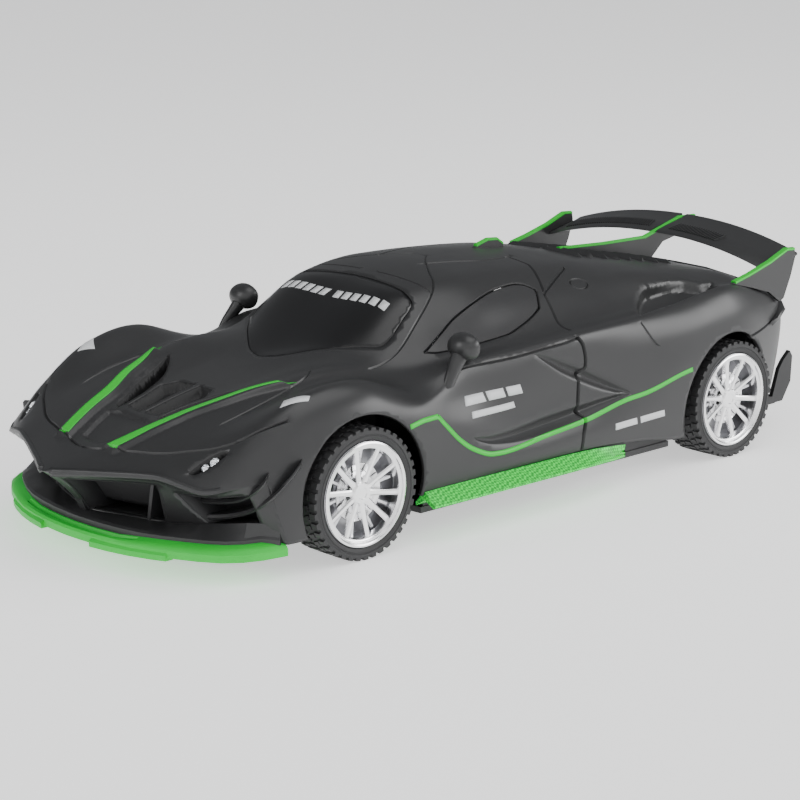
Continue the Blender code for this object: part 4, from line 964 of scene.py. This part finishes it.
def make_wing(look):
    section = [(-92, -2.4), (-93, -1.7), (-99, -0.3), (-104, 0.75), (-106.3, 1.5), (-106.5, 0.9),
               (-104, -0.1), (-99, -1.4), (-93, -2.55)]
    for side, name in SIDES:
        ys = np.linspace(0.9, 42.6, 26)
        rings = [[(x, side * y, wing_height(y) + dz) for x, dz in section] for y in ys]
        made = loft_side(rings, side)
        for y in np.arange(4, 22 if side > 0 else 38, 0.9):         # the hatch on top of the blade
            rib = [(x, side * (y + lean + w), wing_height(y) + z)
                   for x, z, lean, w in ((-94.6, -1.6, 0, -0.2), (-94.6, -1.6, 0, 0.2),
                                         (-98.6, -0.55, 1.2, 0.2), (-98.6, -0.55, 1.2, -0.2))]
            ends = [[made.verts.new((x, y0, z + h)) for x, y0, z in rib] for h in (0, 0.62)]
            made.faces.new(ends[0])
            made.faces.new(ends[1][::-1])
            for i in range(4):
                made.faces.new((ends[0][i], ends[1][i], ends[1][(i + 1) % 4], ends[0][(i + 1) % 4]))
        from_bmesh(f"wing blade {name}", made, look["body"], f"wing_blade_{name}")
        plate = [(-75.5, 47.6), (-84, 45.4), (-92, 43.0), (-97.0, 39.6), (-98.8, 40.4), (-101.6, 46.4),
                 (-103.4, 51.8), (-103, 54.2), (-99.5, 54.4), (-92, 51.6), (-83, 49.2)]
        put = 43.6 * side
        from_bmesh(f"wing endplate {name}", prism(plate, put - 0.6, put + 0.6, "Y"), look["body"],
                   f"wing_endplate_{name}")
        top = [(-76.5, 47.9), (-83, 49.3), (-92, 51.7), (-99.5, 54.5), (-102.8, 54.3)]
        edge_bar(f"endplate edge {name}", top, 0.85, put, look)
    centre = [(-52, 54.6), (-62, 52.6), (-72, 50.9), (-82, 48.9), (-91, 47.2), (-96, 51.5), (-106.8, 53.6),
              (-111.2, 57.0), (-109.6, 58), (-104, 57.8), (-88, 53.6), (-70, 53.9)]
    from_bmesh("wing centre fin", prism(centre, -0.55, 0.55, "Y"), look["body"], "wing_centre_fin")
    top = [(-51, 55), (-70, 54.1), (-88, 53.8), (-104, 58), (-110.6, 57.8)]
    edge_bar("centre fin edge", top, 0.7, 0, look)
    roof = [(-16, 59.2), (-22, 58.6), (-28.2, 57.9), (-27.8, 59.4), (-25.8, 60.7), (-22, 61.1)]
    from_bmesh("roof fin", prism(roof, -0.5, 0.5, "Y"), look["body"], "roof_fin")
    edge_bar("roof fin edge", [(-17.5, 59.9), (-22, 61.1), (-25.8, 60.8), (-28, 59.3)], 0.6, 0, look)


def edge_bar(name, path, half, y, look):
    """A thin green capping along the top of an upright fin."""
    rings = [[(x, y - half, z - 0.35), (x, y + half, z - 0.35), (x, y + half, z + 0.25), (x, y, z + 0.4),
              (x, y - half, z + 0.25)] for x, z in path]
    from_bmesh(name, loft(rings), look["green"])


def make_tail_lip(look):
    """The sharp rear corner over the tail, under the wing."""
    line = [(-101.6, 0, 44.4), (-101.6, 12, 44.2), (-100.9, 24, 43.1), (-100.4, 34, 41.4),
            (-99.6, 41, 39.6), (-97.6, 44.4, 37.2), (-92.5, 46.4, 35.4)]
    rows = [[(x + 2.2, y, z - 0.6), (x - 1.0, y, z + 0.35), (x - 1.6, y + 0.3, z - 0.1),
             (x + 1.4, y, z - 1.8)] for x, y, z in line]
    from_bmesh("tail lip", strip(rows), look["body"], smooth=40)


MIRROR_Y, MIRROR_Z = 43.6, 45.6


def make_mirrors(look):
    stem = through(np.arange(4.0), [(36.2, 44.9, 36.6, 1.8), (34.4, 44.6, 39.6, 2.1), (32.0, 44.0, 42.4, 2.6),
                                    (30.0, 43.6, 44.6, 3.1)], np.linspace(0, 3, 14))
    for side, name in SIDES:
        rings = []
        for k in range(11):
            a = math.pi * (k + 0.5) / 11
            along, wide = math.cos(a), math.sin(a) ** 0.75
            ring = []
            for t in wheel_turn(15):
                deep = 4.0 if math.cos(t) > 0 else 2.2
                ring.append((29.0 + deep * wide * math.cos(t), side * (MIRROR_Y + 4.7 * along),
                             MIRROR_Z + 3.6 * wide * math.sin(t)))
            rings.append(ring)
        made = loft(rings)
        loft([[(x + r * math.cos(a), side * y + 0.7 * r * math.sin(a), z) for a in wheel_turn(20)]
              for x, y, z, r in stem], made)
        from_bmesh(f"door mirror {name}", made, look["body"], f"mirror_{name}", 50)
        glass = loft([[(x, side * (MIRROR_Y + 3.0 * math.cos(t)), MIRROR_Z + 2.3 * math.sin(t))
                       for t in wheel_turn(15)] for x in (27.4, 26.7)])
        from_bmesh(f"mirror glass {name}", glass, look["screen"], smooth=40)


def make_diffuser(look):
    plan = [(-95.4, 33), (-99.5, 38.9), (-103.5, 38.9), (-105, 30)]
    made = prism(plan + [(x, -y) for x, y in reversed(plan)], 7.4, 9.6, "Z")
    tall = [(-101.6, 7.6), (-107, 7.6), (-110.6, 13), (-111, 20.5), (-109.8, 22.3), (-107, 20), (-105, 17.5)]
    low = [(-101.4, 5.6), (-103, 4.4), (-106, 4.4), (-107, 7), (-107, 10.6), (-104, 11.6), (-101.4, 8)]
    for y, outline in ((-38.2, tall), (-26, low), (-13, low), (0, low), (13, low), (26, low), (38.2, tall)):
        prism(outline, y - 0.65, y + 0.65, "Y", made)
    from_bmesh("rear diffuser", made, look["black"], "rear_diffuser")


# ---------------------------------------------------------------- wheels

TREAD = [(13.35, -5.9), (14.0, -6.2), (14.35, -6.25), (14.5, -6.1), (14.75, -6.1), (14.9, -6.28),
         (15.7, -6.1), (15.95, -5.5), (16.1, -3.0), (16.15, 0), (16.1, 3.0), (15.95, 5.5), (15.7, 6.1),
         (14.9, 6.28), (14.75, 6.1), (14.5, 6.1), (14.35, 6.25), (14.0, 6.2), (13.35, 5.9)]
BLOCK_ROWS = 40


def block(made, cx, cy, cz, angle, low, high, y0, y1, half, lean=0.0):
    """A tread block between two radii, tapered a little outward."""
    corners = []
    for r, shrink in ((low, 1.0), (high, 0.82)):
        for u, y in ((-1, y0), (1, y0), (1, y1), (-1, y1)):
            a = angle + u * half * shrink / r + lean * (y - y0) / r
            corners.append(made.verts.new((cx + r * math.cos(a), cy + y, cz + r * math.sin(a))))
    for f in ((0, 3, 2, 1), (4, 5, 6, 7), (0, 1, 5, 4), (1, 2, 6, 5), (2, 3, 7, 6), (3, 0, 4, 7)):
        made.faces.new([corners[i] for i in f])


def make_tyre(name, x, side, body, look):
    centre = (x, side * WHEEL_Y, WHEEL_Z)
    made = turned(TREAD, 120, centre)
    for k in range(BLOCK_ROWS):
        a = 2 * math.pi * k / BLOCK_ROWS
        for end in (1, -1):
            block(made, *centre, a, 15.3, 16.45, *sorted((end * 4.0, end * 6.15)), 0.85)
            between = a + math.pi / BLOCK_ROWS
            block(made, *centre, between, 15.6, 16.5, *sorted((end * 1.6, end * 3.6)), 0.75, 0.35)
        block(made, *centre, a, 15.6, 16.5, -1.0, 1.0, 0.7)
    from_bmesh(f"tread {name}", made, look["rubber"], f"tyre_{name}", 40, body)


LIP = [(13.0, 6.3), (12.6, 6.45), (12.2, 6.3), (11.95, 5.5), (11.75, 5.5), (11.55, 5.7), (11.3, 5.6),
       (11.2, 4.6), (11.35, 3.4), (13.0, 3.4)]
HUB = [(0, 4.7), (1.3, 4.75), (1.5, 5.0), (2.5, 4.95), (2.8, 4.6), (2.9, 3.0), (0, 3.0)]
DISC = [(0, 2.6), (6.6, 2.9), (7.2, 3.2), (7.3, 2.6), (7.2, 2.0), (0, 1.8)]
NUT = [(0.0, 2.7), (0.75, 2.75), (0.95, 3.0), (1.1, 2.7), (1.1, 2.4), (0, 2.4)]
BARREL = [(13.1, -6.0), (13.1, 5.9), (12.3, 5.9), (12.0, 3.2), (11.9, -1.0), (2.0, -1.6), (2.0, -2.6),
          (11.6, -2.2), (11.9, -6.0)]
SPOKES = 10
NUT_CIRCLE = 4.8


def make_rim(name, x, out, body, look):
    """A rim whose face looks out to the left (1) or to the right (-1)."""
    centre = (x, out * WHEEL_Y, WHEEL_Z)

    def ring(profile, segments, place=centre, into=None):
        return turned([(r, out * a) for r, a in profile], segments, place, into=into)

    made = ring(LIP, 96)
    for k in range(SPOKES):
        a = 2 * math.pi * k / SPOKES + math.radians(9)
        spoke(made, centre, a, out, [(2.2, 4.5, 0.85), (6, 4.7, 0.68), (11.6, 5.2, 0.72)], 1.5)
    ring(HUB, 40, into=made)
    ring(DISC, 60, into=made)
    from_bmesh(f"spokes {name}", made, look["chrome"], f"rim_{name}", 35, body)
    deep = bmesh.new()
    for k in range(SPOKES):
        a = 2 * math.pi * k / SPOKES + math.radians(27)
        spoke(deep, centre, a, out, [(6.5, 2.6, 0.6), (12.2, 3.0, 0.6)], 0.9)
        hole = (x + NUT_CIRCLE * math.cos(a), centre[1], WHEEL_Z + NUT_CIRCLE * math.sin(a))
        ring(NUT, 14, hole, deep)
    from_bmesh(f"inner spokes {name}", deep, look["dull"], "", 35, body)
    from_bmesh(f"rim barrel {name}", ring(BARREL, 80), look["barrel"], "", 35, body)


def spoke(made, centre, angle, out, stations, deep):
    """A spoke from (radius, height, half width) stations, crowned along its middle."""
    c, s = math.cos(angle), math.sin(angle)
    rings = []
    for r, high, half in stations:
        ring = []
        for u, drop in ((-1, deep), (-1, 0.35), (-0.5, 0.06), (0.5, 0.06), (1, 0.35), (1, deep)):
            px, pz = r * c - u * half * s, r * s + u * half * c
            ring.append((centre[0] + px, centre[1] + out * (high - drop), centre[2] + pz))
        rings.append(ring)
    loft_side(rings, out, made)


def make_wheels(look):
    for end, x in (("front", AXLE_X), ("rear", -AXLE_X)):
        for side, name in SIDES:
            body = "rear_wheels" if end == "rear" else f"front_wheel_{name}"
            make_tyre(f"{end}_{name}", x, side, body, look)
            make_rim(f"{end}_{name}", x, side, body, look)


# ---------------------------------------------------------------- carried-over pieces, light and camera

def finish_nodes(nodes, look):
    """Every piece still shown straight from the CAD gets its own finish."""
    kinds = {"steel": ("rear_axle", "compound_pin", "drive_motor", "steering_motor", "battery_contact_front",
                       "battery_contact_rear", "wheel_screw_left", "wheel_screw_right",
                       "body_screw_front_left", "body_screw_front_right", "body_screw_rear_left",
                       "body_screw_rear_right"),
             "nylon": ("axle_gear", "compound_gear", "steering_lever"),
             "brass": ("motor_pinion", "steering_pinion", "rear_bush_left", "rear_bush_right"),
             "cell": ("aa_cell_1", "aa_cell_2", "aa_cell_3", "aa_cell_4"), "board": ("circuit_board",)}
    chosen = {node: kind for kind, names in kinds.items() for node in names}
    for name, node in nodes.items():
        node.data.materials.clear()
        node.data.materials.append(look[chosen.get(name, "black")])


CAMERA_TURN, CAMERA_RISE = 137.092, 14.035          # degrees
CAMERA_PLACE = (426.93, 447.65, 173.45)
CAMERA_LENS = 104.2


def area_light(name, place, aim, size, watts):
    made = bpy.data.lights.new(name, "AREA")
    made.shape = "RECTANGLE"
    made.size, made.size_y = size
    made.energy = watts
    lamp = bpy.data.objects.new(name, made)
    bpy.context.scene.collection.objects.link(lamp)
    lamp.location = place
    lamp.rotation_euler = (Vector(aim) - Vector(place)).to_track_quat("-Z", "Y").to_euler()


FLOOR_NEAR, FLOOR_FAR, FLOOR_HALF = 2.5, -1.0, 3.5      # metres, towards the camera and away from it
BEND_RADIUS, WALL_TOP = 0.7, 3.0
FLOOR_GLOW = 0.8


def make_stage():
    """A pale floor that bends up into a wall on the far side from the camera."""
    floor_look = finish("studio floor", (0.8, 0.8, 0.8), 0.6)
    glow = floor_look.node_tree.nodes["Principled BSDF"].inputs
    glow["Emission Color"].default_value = (1, 1, 1, 1)
    glow["Emission Strength"].default_value = FLOOR_GLOW
    mesh = bpy.data.meshes.new("studio floor")
    bend = [(FLOOR_FAR - BEND_RADIUS * math.sin(a), BEND_RADIUS - BEND_RADIUS * math.cos(a))
            for a in np.radians(np.arange(0, 91, 6))]
    profile = [(FLOOR_NEAR, 0.0)] + bend + [(FLOOR_FAR - BEND_RADIUS, WALL_TOP)]
    turn = math.radians(CAMERA_TURN)
    away = Vector((-math.sin(turn - math.pi), math.cos(turn - math.pi), 0))
    side = Vector((away.y, -away.x, 0))
    points = [tuple(side * w - away * d + Vector((0, 0, z)))
              for d, z in profile for w in (-FLOOR_HALF, FLOOR_HALF)]
    faces = [(2 * i, 2 * i + 1, 2 * i + 3, 2 * i + 2) for i in range(len(profile) - 1)]
    mesh.from_pydata(points, [], faces)
    mesh.shade_smooth()
    mesh.materials.append(floor_look)
    floor = bpy.data.objects.new("studio floor", mesh)
    bpy.context.scene.collection.objects.link(floor)


def make_camera():
    lens = bpy.data.cameras.new("camera")
    lens.lens = CAMERA_LENS
    lens.sensor_width = 36
    lens.dof.use_dof = False
    camera = bpy.data.objects.new("camera", lens)
    bpy.context.scene.collection.objects.link(camera)
    camera.location = Vector(to_frame(CAMERA_PLACE))
    camera.rotation_euler = (math.radians(90 - CAMERA_RISE), 0, math.radians(CAMERA_TURN))
    bpy.context.scene.camera = camera


def make_lights():
    area_light("overhead softbox", (-0.1, 0.2, 0.9), (0, 0, 0), (0.7, 0.7), 3.4)
    area_light("side softbox", (-0.8, 0.7, 0.45), (-0.03, 0, 0.03), (0.8, 0.5), 8)
    area_light("front strip", (0.95, -0.35, 0.5), (0.05, 0, 0.03), (0.25, 0.6), 3)
    world = bpy.data.worlds.new("studio")
    world.use_nodes = True
    world.node_tree.nodes["Background"].inputs["Color"].default_value = (0.9, 0.92, 0.95, 1)
    world.node_tree.nodes["Background"].inputs["Strength"].default_value = 0.28
    bpy.context.scene.world = world


def main():
    look = looks()
    finish_nodes(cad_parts, look)
    sheet, nose = make_body(look)
    make_splitter(look, nose)
    make_grille(look)
    make_headlights(look, sheet)
    make_skirts(look)
    make_wing(look)
    make_tail_lip(look)
    make_mirrors(look)
    make_diffuser(look)
    make_wheels(look)
    make_stage()
    make_lights()
    make_camera()


main()
